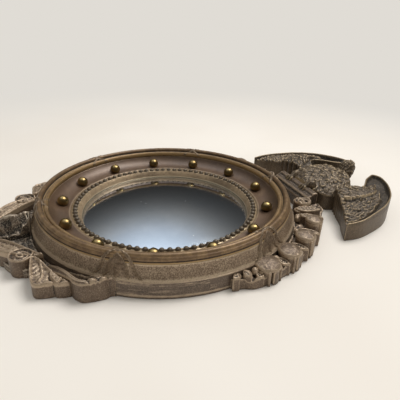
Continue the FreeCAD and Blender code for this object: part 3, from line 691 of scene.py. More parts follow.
slope = join(bow((FRIEZE_FOOT, FLANGE_TOP), SLOPE_HEAD, 0.95, 24),
             [(FRIEZE_HEAD - 2.5, FRIEZE_TOP + 2.0), (FRIEZE_HEAD - 4.0, FRIEZE_TOP),
              (MOULDING_INNER + 2, FRIEZE_TOP), (MOULDING_INNER, FRIEZE_TOP), (MOULDING_INNER, FLANGE_TOP)])
frieze = turned("stippled_slope", slope, 1300, stipple, replaces=("stippled_frieze",), slot="antiqued_bronze")
add_wear(frieze, near=0.14, far=0.4, lift=lambda x, y, z: 0.30)
print("slope faces", len(frieze.data.polygons))

# %% The reeded rim
REED_1 = (MOULDING_INNER + 5.4, 2.6)       # middle and radius of the crest reed
REED_2 = (MOULDING_INNER - 0.5, 1.9)       # the smaller reed inside it


def rim_section():
    inner_top = CREST - 3.2
    band = half_round(REED_1[0] + 1.5, CREST - 2.5, 2.5, 14, -24, 72)
    fillet = [(FRIEZE_HEAD - 1.6, FRIEZE_TOP), (FRIEZE_HEAD - 0.9, FRIEZE_TOP + 2.5),
              (FRIEZE_HEAD - 0.45, FRIEZE_TOP + 2.9), (FRIEZE_HEAD - 0.5, FRIEZE_TOP + 3.6),
              (FRIEZE_HEAD - 1.2, FRIEZE_TOP + 4.0)]
    crest = half_round(REED_1[0], CREST, REED_1[1], 24, -6, 180)
    groove = [(REED_1[0] - 2.6, CREST - 3.6), (REED_1[0] - 3.0, CREST - 4.0), (REED_2[0] + 2.2, CREST - 4.0),
              (REED_2[0] + 1.9, inner_top - 1.9)]
    small = half_round(REED_2[0], inner_top, REED_2[1], 16, 0, 180)
    return join(fillet, band, crest, groove, small,
                [(REED_2[0] - REED_2[1], COVE_LIP), (MOULDING_INNER, COVE_LIP), (MOULDING_INNER, FRIEZE_TOP)])


def hand_worn(theta, radius, height):
    """Moulded, not machined: the reeds wander by a few hundredths of a millimetre."""
    on = (height > FRIEZE_TOP + 0.5) * (radius > MOULDING_INNER)
    return 0.05 * noise(theta * 130, height, 11.0, 5.0) * on


TURNED_WEAR = {"near": 0.10, "far": 0.30, "passes": (4, 16)}
EDGE_WEAR = {"near": 0.12, "far": 0.35, "passes": (4, 16)}
rim = turned("reeded_rim", rim_section(), 560, hand_worn, replaces=("reeded_moulding",),
             slot="rubbed_moulding")
add_wear(rim, **TURNED_WEAR)

# %% The cove
COVE_FOOT = COVE_LIP - 10.4
COVE_OUTER = MOULDING_INNER - 0.8
COVE_INNER = COVE_OUTER - 22.6
cove_section = join([(MOULDING_INNER, FLANGE_TOP), (MOULDING_INNER, COVE_LIP), (COVE_OUTER, COVE_LIP)],
                    bow((COVE_OUTER, COVE_LIP), (COVE_OUTER - 1.2, COVE_LIP - 1.1), 0.2, 3),
                    bow((COVE_OUTER - 1.2, COVE_LIP - 1.1), (COVE_INNER + 1.6, COVE_FOOT + 0.35), 3.6, 34),
                    [(COVE_INNER + 1.0, COVE_FOOT + 0.1), (COVE_INNER, COVE_FOOT), (COVE_INNER, FLANGE_TOP)])
cove = turned("cove", cove_section, 480, replaces=("cove_ring",), slot="satin_cove")
add_wear(cove, **TURNED_WEAR)

# %% The sight edge that slopes down to the glass
BEAD_SEAT = corners_mm("sight_ring")[1][2]
GLASS_TOP = corners_mm("convex_glass")[1][2]
BULGE = 327.1                     # radius of the ball that the glass is a cap of
SIGHT, SIGHT_WALL, RING_SEAT = 90.0, 93.5, 2.0


def glass_height(radius):
    return GLASS_TOP - BULGE + math.sqrt(BULGE ** 2 - radius ** 2)


GLASS_EDGE = glass_height(SIGHT)


def cast_skin(theta, radius, height):
    on = smoothstep(SIGHT + 0.2, SIGHT + 1.0, radius) * (radius < SIGHT + 9)
    return on * 0.14 * noise(theta * 95, height * 1.6, 2.6, 7.0)


sight_section = join([(SIGHT_WALL, GLASS_EDGE), (SIGHT_WALL, RING_SEAT), (COVE_INNER - 0.2, RING_SEAT),
                      (COVE_INNER - 0.2, BEAD_SEAT), (SIGHT + 4.2, BEAD_SEAT)],
                     half_round(SIGHT + 4.0, BEAD_SEAT + 0.35, 0.7, 6, 30, 150),
                     bow((SIGHT + 3.2, BEAD_SEAT - 0.3), (SIGHT + 0.35, GLASS_EDGE + 1.6), -0.25, 16),
                     half_round(SIGHT + 0.5, GLASS_EDGE + 1.6, 0.5, 5, 90, 180), [(SIGHT, GLASS_EDGE)])
sight = turned("sight_edge", sight_section, 480, cast_skin, replaces=("sight_ring",), slot="gilt_sight_edge")
add_wear(sight, **EDGE_WEAR)
print("ring members", [o.name for o in (frieze, rim, cove, sight)])

# %% [markdown]
# The base ring has the hanger's pocket cut into its back. The ring is turned like the others and the
# pocket is taken out of it with a Boolean, because a turned section alone can't hold a square hole.

# %% The base ring with its pocket
HANGER = corners_mm("hanger_plate")
RING_HIGH = corners_mm("hanging_ring")[1]
PLAY, POCKET_CORNER = 1.6, 2.0      # room round the hanger, and the radius of the pocket's corners
REBATE = 107.5                      # radius of the hole that the backboard fills


def flange_wall(theta, radius, height):
    wall = smoothstep(FLANGE_RADIUS - 4, FLANGE_RADIUS - 0.5, radius)
    combed = 0.08 * noise(theta * 4.0, height * 2.2, 1.0, 11.0) + 0.05 * noise(theta * 20, height, 1.1, 13.0)
    edge = (smoothstep(FLANGE_TOP - 2.0, FLANGE_TOP, height)
            * smoothstep(FLANGE_RADIUS - 2, FLANGE_RADIUS, radius))
    chips = -0.25 * np.clip(noise(theta * 139, height, 3.0, 12.0), 0, 1) * edge
    return wall * (combed - 0.06) * (height > 0.6) + chips


flange_section = join([(COVE_INNER - 0.2, RING_SEAT), (REBATE, RING_SEAT), (REBATE, 0.0)],
                      [(FLANGE_RADIUS - 0.7, 0.0), (FLANGE_RADIUS - 0.15, 0.25)],
                      bow((FLANGE_RADIUS, 0.8), (FLANGE_RADIUS, FLANGE_TOP - 1.0), 0.0, 14),
                      half_round(FLANGE_RADIUS - 0.9, FLANGE_TOP, 0.9, 6, 0, 90),
                      [(FRIEZE_FOOT - 1.5, FLANGE_TOP - 0.1), (COVE_INNER - 0.2, FLANGE_TOP - 0.1)])
flange = turned("base_ring", flange_section, 700, flange_wall, replaces=("back_flange",),
                slot="antiqued_bronze")


def cut_box(target, low, high, corner):
    """Takes a box with rounded upright corners out of a piece."""
    bm = bmesh.new()
    bmesh.ops.create_cube(bm, size=1.0)
    size, middle = (high - low) * MM, (high + low) / 2 * MM
    bmesh.ops.scale(bm, vec=size, verts=bm.verts)
    bmesh.ops.translate(bm, vec=middle, verts=bm.verts)
    upright = [e for e in bm.edges if abs((e.verts[0].co - e.verts[1].co).normalized().z) > 0.99]
    bmesh.ops.bevel(bm, geom=upright, offset=corner * MM, segments=5, profile=0.5, affect="EDGES")
    cutter = add_bmesh("cutter", bm)
    cut = target.modifiers.new("pocket", "BOOLEAN")
    cut.operation = "DIFFERENCE"
    cut.solver = "EXACT"
    cut.object = cutter
    settle(target)
    bpy.data.objects.remove(cutter)


def settle(obj):
    """Turns an object's modifiers into its plain mesh."""
    evaluated = obj.evaluated_get(bpy.context.evaluated_depsgraph_get())
    mesh = bpy.data.meshes.new_from_object(evaluated)
    obj.modifiers.clear()
    obj.data = mesh
    return obj


cut_box(flange, np.array((-RING_HIGH[0] - PLAY, HANGER[0][1] - PLAY + 0.4, -1.0)),
        np.array((RING_HIGH[0] + PLAY, RING_HIGH[1] + PLAY, HANGER[1][2] + 0.05)), POCKET_CORNER)
shade_smooth(flange)


def flange_lift(x, y, z):
    """The upper outer edge is the most rubbed line of the whole ring."""
    out = smoothstep(FLANGE_RADIUS - 2.2, FLANGE_RADIUS - 0.6, np.hypot(x, y))
    return 1.3 * smoothstep(FLANGE_TOP - 0.9, FLANGE_TOP - 0.2, z) * out


add_wear(flange, **EDGE_WEAR, lift=flange_lift)
print("base ring faces", len(flange.data.polygons))

# %% [markdown]
# ## Pearls, balls and ribbons repeat round the ring
# Each of these is one small mesh, made once at angle nought and set round the axis by a Geometry
# Nodes tree with a count and a first angle. A little wobble keeps the copies from being too equal.

# %% The tree that repeats a mesh round the axis
def build_round_repeat():
    tree = bpy.data.node_groups.new("round_repeat", "GeometryNodeTree")
    for name, kind, value in (("Geometry", "NodeSocketGeometry", None), ("Count", "NodeSocketInt", 6),
                              ("First Angle", "NodeSocketFloat", 0.0), ("Wobble", "NodeSocketFloat", 0.0),
                              ("Material", "NodeSocketMaterial", None)):
        socket = tree.interface.new_socket(name, in_out="INPUT", socket_type=kind)
        if value is not None:
            socket.default_value = value
    tree.interface.new_socket("Geometry", in_out="OUTPUT", socket_type="NodeSocketGeometry")
    given = node(tree, "NodeGroupInput").outputs
    line = feed(tree, node(tree, "GeometryNodeMeshLine"), Count=given["Count"], Offset=(0, 0, 0))
    index = Field(tree, node(tree, "GeometryNodeInputIndex").outputs[0])
    angle = index * (2 * math.pi / Field(tree, given["Count"])) + given["First Angle"]
    euler = feed(tree, node(tree, "ShaderNodeCombineXYZ"), Z=angle)
    copies = feed(tree, node(tree, "GeometryNodeInstanceOnPoints"), Points=line.outputs["Mesh"],
                  Instance=given["Geometry"], Rotation=euler.outputs[0])
    real = feed(tree, node(tree, "GeometryNodeRealizeInstances"), Geometry=copies.outputs[0])
    uneven = feed(tree, node(tree, "ShaderNodeTexNoise", noise_dimensions="3D"), Scale=1 / (6 * MM),
                  Detail=1.0)
    centred = node(tree, "ShaderNodeVectorMath", operation="SUBTRACT")
    wire(tree, uneven.outputs["Color"], centred.inputs[0])
    wire(tree, (0.5, 0.5, 0.5), centred.inputs[1])
    moved = node(tree, "ShaderNodeVectorMath", operation="SCALE")
    wire(tree, centred.outputs[0], moved.inputs[0])
    wire(tree, given["Wobble"], moved.inputs["Scale"])
    place = feed(tree, node(tree, "GeometryNodeSetPosition"), Geometry=real.outputs[0],
                 Offset=moved.outputs[0])
    paint = feed(tree, node(tree, "GeometryNodeSetMaterial"), Geometry=place.outputs[0],
                 Material=given["Material"])
    wire(tree, paint.outputs[0], node(tree, "NodeGroupOutput").inputs[0])
    return tree


ROUND_REPEAT = build_round_repeat()


def repeat_round(name, verts, faces, count, first_angle, material, wobble_mm=0.0, **seating):
    obj = add_mesh(name, verts, faces)
    modifier = obj.modifiers.new("round", "NODES")
    modifier.node_group = ROUND_REPEAT
    sockets = {item.name: item.identifier for item in ROUND_REPEAT.interface.items_tree
               if item.in_out == "INPUT"}
    for key, value in (("Count", count), ("First Angle", math.radians(first_angle)),
                       ("Wobble", wobble_mm * MM), ("Material", material)):
        modifier[sockets[key]] = value
    settle(obj)
    return seat(obj, **seating)


def capped(rings, around):
    """A closed turned shape from (radius, height) rings; its first and last ring are single points."""
    angle = np.linspace(0, 2 * math.pi, around, endpoint=False)
    verts = [(0, 0, rings[0][1])]
    for radius, height in rings[1:-1]:
        verts += [(radius * math.cos(a), radius * math.sin(a), height) for a in angle]
    verts.append((0, 0, rings[-1][1]))
    last = 1 + (len(rings) - 3) * around
    faces = []
    for j in range(around):
        k = (j + 1) % around
        faces.append((0, 1 + j, 1 + k))
        for a in range(1, last, around):
            faces.append((a + j, a + around + j, a + around + k, a + k))
        faces.append((len(verts) - 1, last + k, last + j))
    return np.array(verts, float), faces


def ball(middle, radius, around=18, rows=12, squash=1.0):
    turn = np.linspace(0, math.pi, rows + 1)
    verts, faces = capped(list(zip(np.sin(turn), np.cos(turn))), around)
    return verts * radius * np.array((1, 1, squash)) + np.array(middle), faces


# %% Pearls and balls
PEARL_COUNT, PEARL_CIRCLE, PEARL = 82, 96.3, 2.75
pearls = repeat_round("pearls", *ball((PEARL_CIRCLE, 0, BEAD_SEAT + 0.45), PEARL, 14, 9), PEARL_COUNT, 0.0,
                      MATERIALS["bronzed_pearls"], 0.25, replaces=("bead_ring",), slot="bronzed_pearls")
BALL_COUNT, BALL_CIRCLE, BALL, BALL_FIRST = 13, 110.0, 6.1, 90.0
BALL_HEIGHT = corners_mm("ball_studs")[1][2] - BALL
balls = repeat_round("cove_balls", *ball((BALL_CIRCLE, 0, BALL_HEIGHT), BALL, 30, 20), BALL_COUNT, BALL_FIRST,
                     MATERIALS["bronzed_pearls"], 0.1, replaces=("ball_studs",), slot="polished_brass")
print("pearls", len(pearls.data.polygons), "balls", len(balls.data.polygons))

# %% [markdown]
# Each ribbon tie is a low relief that hugs the rim: two ribbons cross over the reeds, and leaves fill
# the space between their arms down over the stippled slope. It is modelled like a map. One ruler runs
# over the rim from the slope's foot to the inner lip, the other along the rim, and a height is laid on
# at each point. Where there is no ornament the map dips under the rim and is hidden.

# %% Helpers for several solids in one piece
def outward(verts, faces):
    """Turns every face round if the closed shape is inside out."""
    volume = 0.0
    for f in faces:
        for i in range(1, len(f) - 1):
            volume += np.dot(verts[f[0]], np.cross(verts[f[i]], verts[f[i + 1]]))
    return faces if volume > 0 else [tuple(reversed(f)) for f in faces]


def together(*parts):
    verts, faces, count = [], [], 0
    for part_verts, part_faces in parts:
        verts.append(part_verts)
        faces += [tuple(int(i) + count for i in f) for f in part_faces]
        count += len(part_verts)
    return np.vstack(verts), faces


# %% Ribbon ties over the rim
TIE_STEP, TIE_SUNK, TIE_BACK = 0.62, -4.5, -5.2      # the map's step, its low ground and its back
TIE_HALF = 9.6                   # degrees each way that the map covers
TIE_COUNT, TIE_FIRST = 6, 27.8
TIE_LIP = 121.6                  # radius at which the map ends, inside the rim
OVER_REEDS = [(134.2, 29.5), (133.9, 32.2), (132.7, 34.8), (131.6, 36.9), (129.5, 38.0), (127.2, 37.1),
              (125.4, 35.3), (123.5, 34.8), (121.8, 33.5), (TIE_LIP, 30.8)]
RIM_PATH = evenly(join(bow((FRIEZE_FOOT - 0.1, FLANGE_TOP + 0.9), (FRIEZE_HEAD, FRIEZE_TOP), 0.85, 16),
                       smooth_line(OVER_REEDS, 4)), TIE_STEP)


def tie_relief(height_up, degrees, radius):
    """The map's height: height_up is measured along the rim from the slope's foot."""
    total = TIE_STEP * (len(RIM_PATH) - 1)
    across = np.radians(degrees) * radius
    reach = height_up / total
    h = np.full(across.shape, TIE_SUNK)
    for place, width in ((-4.6, 3.9), (0.0, 4.3), (4.6, 3.9)):
        middle = np.radians(place) * radius * (1 - reach / 0.62)
        t = np.clip(1 - reach / 0.60, 0, 1)
        half = width * np.sin(math.pi * np.clip(t, 0.02, 0.98) ** 0.8) ** 0.7
        s = (across - middle) / np.maximum(half, 0.2)
        lobes = 0.75 + 0.25 * np.cos(2 * math.pi * (reach * 9 + np.abs(s) * 0.5))
        leaf = 0.40 * lobes * (1 - s ** 2) + 0.22 * hump(s, 0.2) + 0.10
        h = np.where((np.abs(s) < 1) & (reach < 0.60), np.maximum(h, leaf), h)
    for side in (-1, 1):
        share = (radius - TIE_LIP) / (FRIEZE_FOOT - TIE_LIP)
        middle = side * np.radians(-4.4 + 13.4 * share) * radius
        s = (across - middle) / 1.9
        bead = 0.22 * np.cos(2 * math.pi * height_up / 3.0)
        band = 0.42 + 0.28 * hump(np.abs(s) - 0.72, 0.2) + bead * hump(s, 0.5)
        h = np.where(np.abs(s) < 1, np.maximum(h, band), h)
    knot = np.hypot(across, (reach - 0.70) * total)
    return np.maximum(h, 1.0 - (knot / 2.8) ** 2)


def tie_arrays():
    out = -left_of(np.gradient(RIM_PATH, axis=0))
    degrees = np.linspace(-TIE_HALF, TIE_HALF, 76)
    n, m = len(RIM_PATH), len(degrees)
    grid_r = np.repeat(RIM_PATH[:, :1], m, 1)
    grid_d = np.repeat(degrees[None], n, 0)
    grid_up = np.repeat(TIE_STEP * np.arange(n)[:, None], m, 1)
    h = tie_relief(grid_up, grid_d, grid_r) + 0.38 * noise(grid_d * 2.3, grid_up, 1.9, 33.0)
    edge = np.minimum(np.arange(n)[:, None], np.arange(n)[::-1][:, None]) < 1
    h = np.where(edge | (np.abs(grid_d) > TIE_HALF - 0.15), TIE_SUNK, h)
    angle = np.radians(grid_d)
    verts = []
    for lift in (h, np.full(h.shape, TIE_BACK)):
        r = grid_r + out[:, :1] * lift
        z = RIM_PATH[:, 1:] + out[:, 1:] * lift
        verts.append(np.stack([r * np.cos(angle), r * np.sin(angle), z], -1).reshape(-1, 3))
    faces = []
    for i in range(n - 1):
        for j in range(m - 1):
            a, b = i * m + j, i * m + j + n * m
            faces.append((a, a + 1, a + m + 1, a + m))
            faces.append((b, b + m, b + m + 1, b + 1))
    border = ([j for j in range(m)] + [i * m + m - 1 for i in range(1, n)]
              + [(n - 1) * m + j for j in range(m - 2, -1, -1)] + [i * m for i in range(n - 2, 0, -1)])
    for a, b in zip(border, border[1:] + border[:1]):
        faces.append((b, a, a + n * m, b + n * m))
    verts = np.vstack(verts)
    return verts, outward(verts, faces)


ties = repeat_round("ribbon_ties", *tie_arrays(), TIE_COUNT, TIE_FIRST, MATERIALS["rubbed_moulding"], 0.0,
                    replaces=("ribbon_ties",), slot="rubbed_moulding")
add_wear(ties, near=0.30, far=0.9)
print("ribbon ties", len(ties.data.polygons))

# %% [markdown]
# ## The bullseye glass
# The glass bulges towards the viewer and is silvered behind. It is made as a dish with a true bulge,
# so that what it shows bends as it should. Old silvering is a little dim, and dust lies on the top.

# %% Glass
GLASS_RIM, GLASS_THICK = 92.9, 2.0
glass_top = [(r, glass_height(r)) for r in np.linspace(0, GLASS_RIM, 40)]
glass_back = [(r, z - GLASS_THICK) for r, z in glass_top[::-3]]
glass_rings = glass_top + glass_back + [(0, GLASS_TOP - GLASS_THICK)]
piece("bullseye_glass", *capped(glass_rings, 256), replaces=("convex_glass",), slot="mirror_glass")


def mirror_material():
    made, tree, shader, _ = new_material("mirror_glass")
    place = object_place(tree)
    haze = cloud(tree, place, 48, detail=4).spread(0.35, 0.75)
    lint = flecks(tree, place, 4.2, 0.14, 0.06, cloud(tree, place, 14, detail=2).spread(0.58, 0.66))[1] * 0.5
    silver = mix_colour(tree, haze, srgb(196, 203, 210), srgb(178, 187, 196))
    feed(tree, shader, Base_Color=mix_colour(tree, lint, silver, srgb(225, 225, 220)), Metallic=1.0,
         Roughness=haze * 0.06 + 0.10 + lint * 0.5, Coat_Weight=0.6, Coat_Roughness=0.06)
    return made


MATERIALS["mirror_glass"] = mirror_material()
print("glass rises", round(GLASS_TOP - GLASS_EDGE, 1), "mm")

# %% [markdown]
# ## Carved relief
# The eagle, the swags and the pendant are pressed from a mould, so from above each point has one
# height. A relief is made from an outline and a height rule: points fill the outline evenly, a
# Delaunay net joins them, upright walls go down to the foot, and a flat back closes the shape.

# %% The relief maker
def inside(loop, xy):
    x, y = xy.T
    result = np.zeros(len(xy), bool)
    for (x0, y0), (x1, y1) in zip(loop, np.roll(loop, -1, 0)):
        if y0 != y1:
            result ^= ((y0 > y) != (y1 > y)) & (x < (x1 - x0) * (y - y0) / (y1 - y0) + x0)
    return result


def edge_distance(line, xy, closed=True):
    best = np.full(len(xy), 1e9)
    ends = np.roll(line, -1, 0) if closed else line[1:]
    for a, b in zip(line, ends):
        d = b - a
        t = np.clip(((xy - a) @ d) / max(d @ d, 1e-9), 0, 1)
        best = np.minimum(best, np.hypot(*(xy - a - t[:, None] * d).T))
    return best


def anticlockwise(loop):
    x, y = loop.T
    return loop if np.sum(x * np.roll(y, -1) - np.roll(x, -1) * y) > 0 else loop[::-1]


def tidy_loop(loop, inset=0.0):
    """Drops doubled points and, where asked, draws the loop in a little."""
    loop = np.asarray(loop, float)
    keep = np.linalg.norm(loop - np.roll(loop, 1, 0), axis=1) > 0.12
    loop = anticlockwise(loop[keep])
    if inset:
        loop = loop + inset * left_of(np.roll(loop, -1, 0) - np.roll(loop, 1, 0))
    return loop


def net(loop, inner):
    """Triangles that fill a loop and use the points inside it."""
    points = [Vector(p) for p in np.vstack([loop, inner])]
    out = delaunay_2d_cdt(points, [], [list(range(len(loop)))], 1, 1e-7)
    plan = np.array([tuple(v) for v in out[0]])
    place = {given: index for index, origin in enumerate(out[3]) for given in origin}
    return plan, [tuple(f) for f in out[2]], [place[k] for k in range(len(loop))]


# Each back has its own height in mm, so that where pieces overlap no two backs lie in one plane. The
# boards, the breast and the bar stand at nought.
FOOT = {"wing": 0.12, "bracket": 0.12, "drum": 0.12, "rib": 0.24, "small drum": 0.30, "swag leaf": 0.36,
        "c-scroll": 0.10, "corner leaf": 0.18, "volute": 0.26, "long leaf": 0.34, "middle leaf": 0.42}


def relief_arrays(loop, height, foot=0.0, spacing=0.7, roll=0.7, inset=0.0):
    loop = tidy_loop(loop, inset)
    low, high = loop.min(0), loop.max(0)
    gx, gy = np.meshgrid(np.arange(low[0], high[0], spacing), np.arange(low[1], high[1], spacing * 0.866))
    gx[1::2] += spacing / 2
    grid = pairs(gx.ravel(), gy.ravel())
    grid = grid[inside(loop, grid)]
    grid = grid[edge_distance(loop, grid) > 0.5 * spacing]
    plan, faces, border = net(loop, grid)
    edge = edge_distance(loop, plan)
    top = height(plan[:, 0], plan[:, 1], edge)
    rounding = np.clip(1 - edge / roll, 0, 1)
    top = np.maximum(top - roll * (1 - np.sqrt(1 - rounding ** 2)), foot + 0.4)
    verts = [np.column_stack([plan, top])]
    ring = list(border)
    count = len(plan)
    faces = list(faces)
    rows = max(3, int((top.max() - foot) / (1.25 * spacing)))
    for row in range(1, rows + 1):
        share = row / rows
        z = top[border] * (1 - share) + foot * share
        verts.append(np.column_stack([plan[border], z]))
        new = list(range(count, count + len(border)))
        for k in range(len(border)):
            m = (k + 1) % len(border)
            faces.append((ring[k], new[k], new[m], ring[m]))
        ring, count = new, count + len(border)
    back_plan, back, back_border = net(plan[border], np.empty((0, 2)))
    at_ring = {b: r for b, r in zip(back_border, ring)}
    spare = [i for i in range(len(back_plan)) if i not in at_ring]
    at_ring.update({i: count + k for k, i in enumerate(spare)})
    verts.append(np.column_stack([back_plan[spare], np.full(len(spare), foot)]))
    faces += [tuple(at_ring[i] for i in reversed(f)) for f in back]
    return np.vstack(verts), faces


def both_sides(name, arrays, replaces=(), slot="carved_bronze", **wear):
    """The right-hand piece and its mirror image on the left. Most stand for the node of their own name."""
    for side, (verts, faces) in (("right", arrays), ("left", mirror_arrays(*arrays))):
        obj = piece(name + "_" + side, verts, faces, slot=slot,
                    replaces=[node + "_" + side for node in replaces or (name,)])
        add_wear(obj, **wear)
    print(name, len(obj.data.polygons), "faces a side")


# %% [markdown]
# Feathers and leaves share one idea: a spine line, a width along it, and a profile across it. `along`
# tells each point how far down the spine it lies and how far to the side, and the rest is arithmetic.

# %% Strokes along a spine
def along(xy, spine):
    """For each point: its share of the way along a line, and its distance to the line's left."""
    best = np.full(len(xy), 1e9)
    t, side = np.zeros(len(xy)), np.zeros(len(xy))
    steps = np.diff(spine, axis=0)
    lengths = np.linalg.norm(steps, axis=1)
    total, start = lengths.sum(), 0.0
    for a, d, length in zip(spine, steps, lengths):
        rel = xy - a
        u = np.clip((rel @ d) / length ** 2, 0, 1)
        off = rel - u[:, None] * d
        dist = np.hypot(*off.T)
        near = dist < best
        best[near] = dist[near]
        t[near] = (start + u[near] * length) / total
        side[near] = (np.sign(d[0] * rel[:, 1] - d[1] * rel[:, 0]) * dist)[near]
        start += length
    return t, side


def feather(field, xy, spine, half, low, high, barb=1.5):
    """Lays one feather on the field: low at its root, high at its free round tip, with a quill."""
    spine = np.asarray(spine)
    near = np.flatnonzero(((xy > spine.min(0) - half) & (xy < spine.max(0) + half)).all(1))
    if not len(near):
        return
    t, side = along(xy[near], spine)
    length = line_length(spine)
    width = half * np.sin(math.pi * np.clip(t, 0.001, 0.999) ** 1.35) ** 0.5
    s = side / np.maximum(width, 1e-3)
    on = np.abs(s) < 1
    barbs = np.cos(2 * math.pi * (t * length - 0.9 * np.abs(side)) / barb)
    top = (low + (high - low) * t ** 1.5 + 0.45 * (1 - s ** 2) - 0.30 * hump(side, 0.35)
           + 0.13 * barbs)
    field[near[on]] = np.maximum(field[near[on]], top[on])


def ridge(xy, spine, width, height):
    """A raised line."""
    return height * hump(along(xy, spine)[1], width)


def bowed(start, end, bend, steps=9):
    """A line from start to end that bows to its left by a share of its length."""
    return bow(start, end, bend * math.dist(start, end), steps)


def plan_points(line):
    return np.array([eagle_point(*p) for p in line])


# %% [markdown]
# ## The eagle
# The wings have a smooth sunk band inside a thin rim along the leading edge, and rows of feathers
# from there to the ragged trailing edge. Each row covers the roots of the row before it.

# %% Wings
WING_TRAIL = smooth_line([(36, 40), (46, 34), (60, 28), (75, 22), (88, 14), (103.7, 5.8)])
WING_LEAD = smooth_line([(103.7, 5.8), (105, 22), (101, 39), (91, 65), (78, 84), (66, 95), (51, 105),
                         (37, 111), (27, 113), (20, 108), (24, 99), (31, 88), (42, 77), (48, 68),
                         (45, 61), (36, 60)])
WING_SEAM = [(36, 40), (38, 50), (36, 60)]      # where the wing dips in behind the breast
WING_TOP, WING_SWEEP = 30.0, 600.0
random = np.random.RandomState(11)


def sphere_top(x, y, at, top, radius):
    reach = (x - at[0]) ** 2 + (y - at[1]) ** 2
    return top - radius + np.sqrt(np.maximum(radius ** 2 - reach, 0))


def ragged(line, count, depth):
    """Feather ends along an edge: the line steps in between them, less and less towards its end."""
    line = evenly(line, 0.6)
    t = np.linspace(0, 1, len(line))
    wave = np.abs(np.sin(math.pi * count * t)) ** 0.6
    fade = np.clip(t * 14, 0, 1) * smoothstep(0.50, 0.15, t)
    return line + left_of(np.gradient(line, axis=0)) * ((1 - wave) * depth * fade)[:, None]


def curled(xy, amount, size, seed):
    """Moves points about a little, so that what is laid on them comes out curly."""
    x, y = xy.T
    return xy + amount * pairs(noise(x, y, size, seed), noise(x, y, size, seed + 1))


def wing_feathers(xy):
    field = np.zeros(len(xy))
    places = curled(xy, 1.5, 6.0, 14.0)
    rows = (  # tips from, to; roots from, to; how many; half width; low; high
        ((40, 39), (101, 9), (45, 60), (99, 44), 16, 3.0, 0.0, 2.0),
        ((42, 48), (98, 22), (46, 68), (97, 52), 15, 2.9, 0.7, 2.6),
        ((44, 57), (95, 36), (48, 76), (92, 62), 13, 2.8, 1.0, 3.0),
        ((47, 66), (90, 48), (50, 83), (86, 70), 11, 2.7, 1.2, 3.2),
        ((48, 75), (84, 60), (52, 88), (78, 78), 9, 2.6, 1.3, 3.3))
    for tip_a, tip_b, root_a, root_b, count, half, low, high in rows:
        for k in range(count):            # the copies differ in place, bend and size
            share = (k + random.uniform(-0.3, 0.3)) / (count - 1)
            tip = np.array(tip_a) * (1 - share) + np.array(tip_b) * share
            root = np.array(root_a) * (1 - share) + np.array(root_b) * share
            tip = tip + random.uniform(-2.0, 2.0, 2)
            spine = bowed(eagle_point(*root), eagle_point(*tip), random.uniform(-0.02, 0.26))
            feather(field, places, spine, half * random.uniform(0.75, 1.15), low,
                    high + random.uniform(-0.5, 0.6))
    return field


def strands(along_mm, across_mm, seed):
    """Ridges that run one way and wander: curly feather strokes."""
    bend = 1.6 * noise(along_mm, across_mm, 9.0, seed) + 0.8 * noise(along_mm, across_mm, 4.0, seed + 1)
    broad = noise(along_mm / 3.6, across_mm + bend, 1.9, seed + 2)
    return broad + 0.4 * noise(along_mm, across_mm, 1.3, seed + 3)


LEAD_LENGTH = line_length(WING_LEAD)
WRIST = eagle_point(50, 93)


def wing_smooth(x, y):
    """One in the sunk band along the leading edge and in the hollow of the wrist, else nought."""
    t, side = along(pairs(x, y), plan_points(WING_LEAD))
    inset = np.abs(side)
    band = np.interp(t, (0, 0.12, 0.30, 0.45, 0.62, 0.74, 0.82, 1.0),
                     (2.5, 4.0, 6.5, 12.0, 18.0, 15.0, 5.0, 2.0))
    band = band + 1.2 * noise(x, y, 7.0, 23.0)
    return t, inset, smoothstep(band + 2.2, band - 0.5, inset)


def wing_height(x, y, edge):
    t, inset, smooth = wing_smooth(x, y)
    z = sphere_top(x, y, eagle_point(20, 79), WING_TOP, WING_SWEEP)
    z -= 5.0 * smoothstep(0.9, 3.2, inset) * smoothstep(0.97, 0.84, t)
    hollow = smoothstep(15.0, 5.0, np.hypot((x - WRIST[0]) / 1.35, y - WRIST[1]))
    z -= 2.6 * hollow * smoothstep(0.9, 3.4, inset)
    curls = strands(t * LEAD_LENGTH, inset, 24.0)
    z += (1 - smooth) * (1.2 + 0.85 * wing_feathers(pairs(x, y)) + 1.1 * curls)
    z += 0.22 * noise(x, y, 5.0, 21.0) * smooth * smoothstep(1.0, 3.0, inset)
    seam = edge_distance(plan_points(WING_SEAM), pairs(x, y), closed=False)
    return z - 5.5 * smoothstep(11, 0, seam)


def wing_lift(x, y, z):
    """Painted shade: the smooth band and the hollow of the wrist are darkened as shade would fall there; all
    above 18 mm is a little darker too.
    """
    t, inset, smooth = wing_smooth(np.abs(x), y)
    return -0.85 * smooth * smoothstep(1.2, 3.0, inset) - 0.26 * (z > 18)


wing_loop = np.vstack([plan_points(ragged(WING_TRAIL, 11, 2.2))[:-1], plan_points(evenly(WING_LEAD, 0.75))])
FEATHER_WEAR = {"near": 0.30, "far": 1.0}
both_sides("wing", relief_arrays(wing_loop, wing_height, FOOT["wing"]), ("wing", "wing_feathers"),
           "feather_bronze", **FEATHER_WEAR, lift=wing_lift)

# %% The breast
BODY_HALF = np.vstack([smooth_line([(20, 16), (36, 27), (42, 42), (43, 62)]),
                       smooth_line([(43, 62), (25, 70), (11, 79)])[1:]])


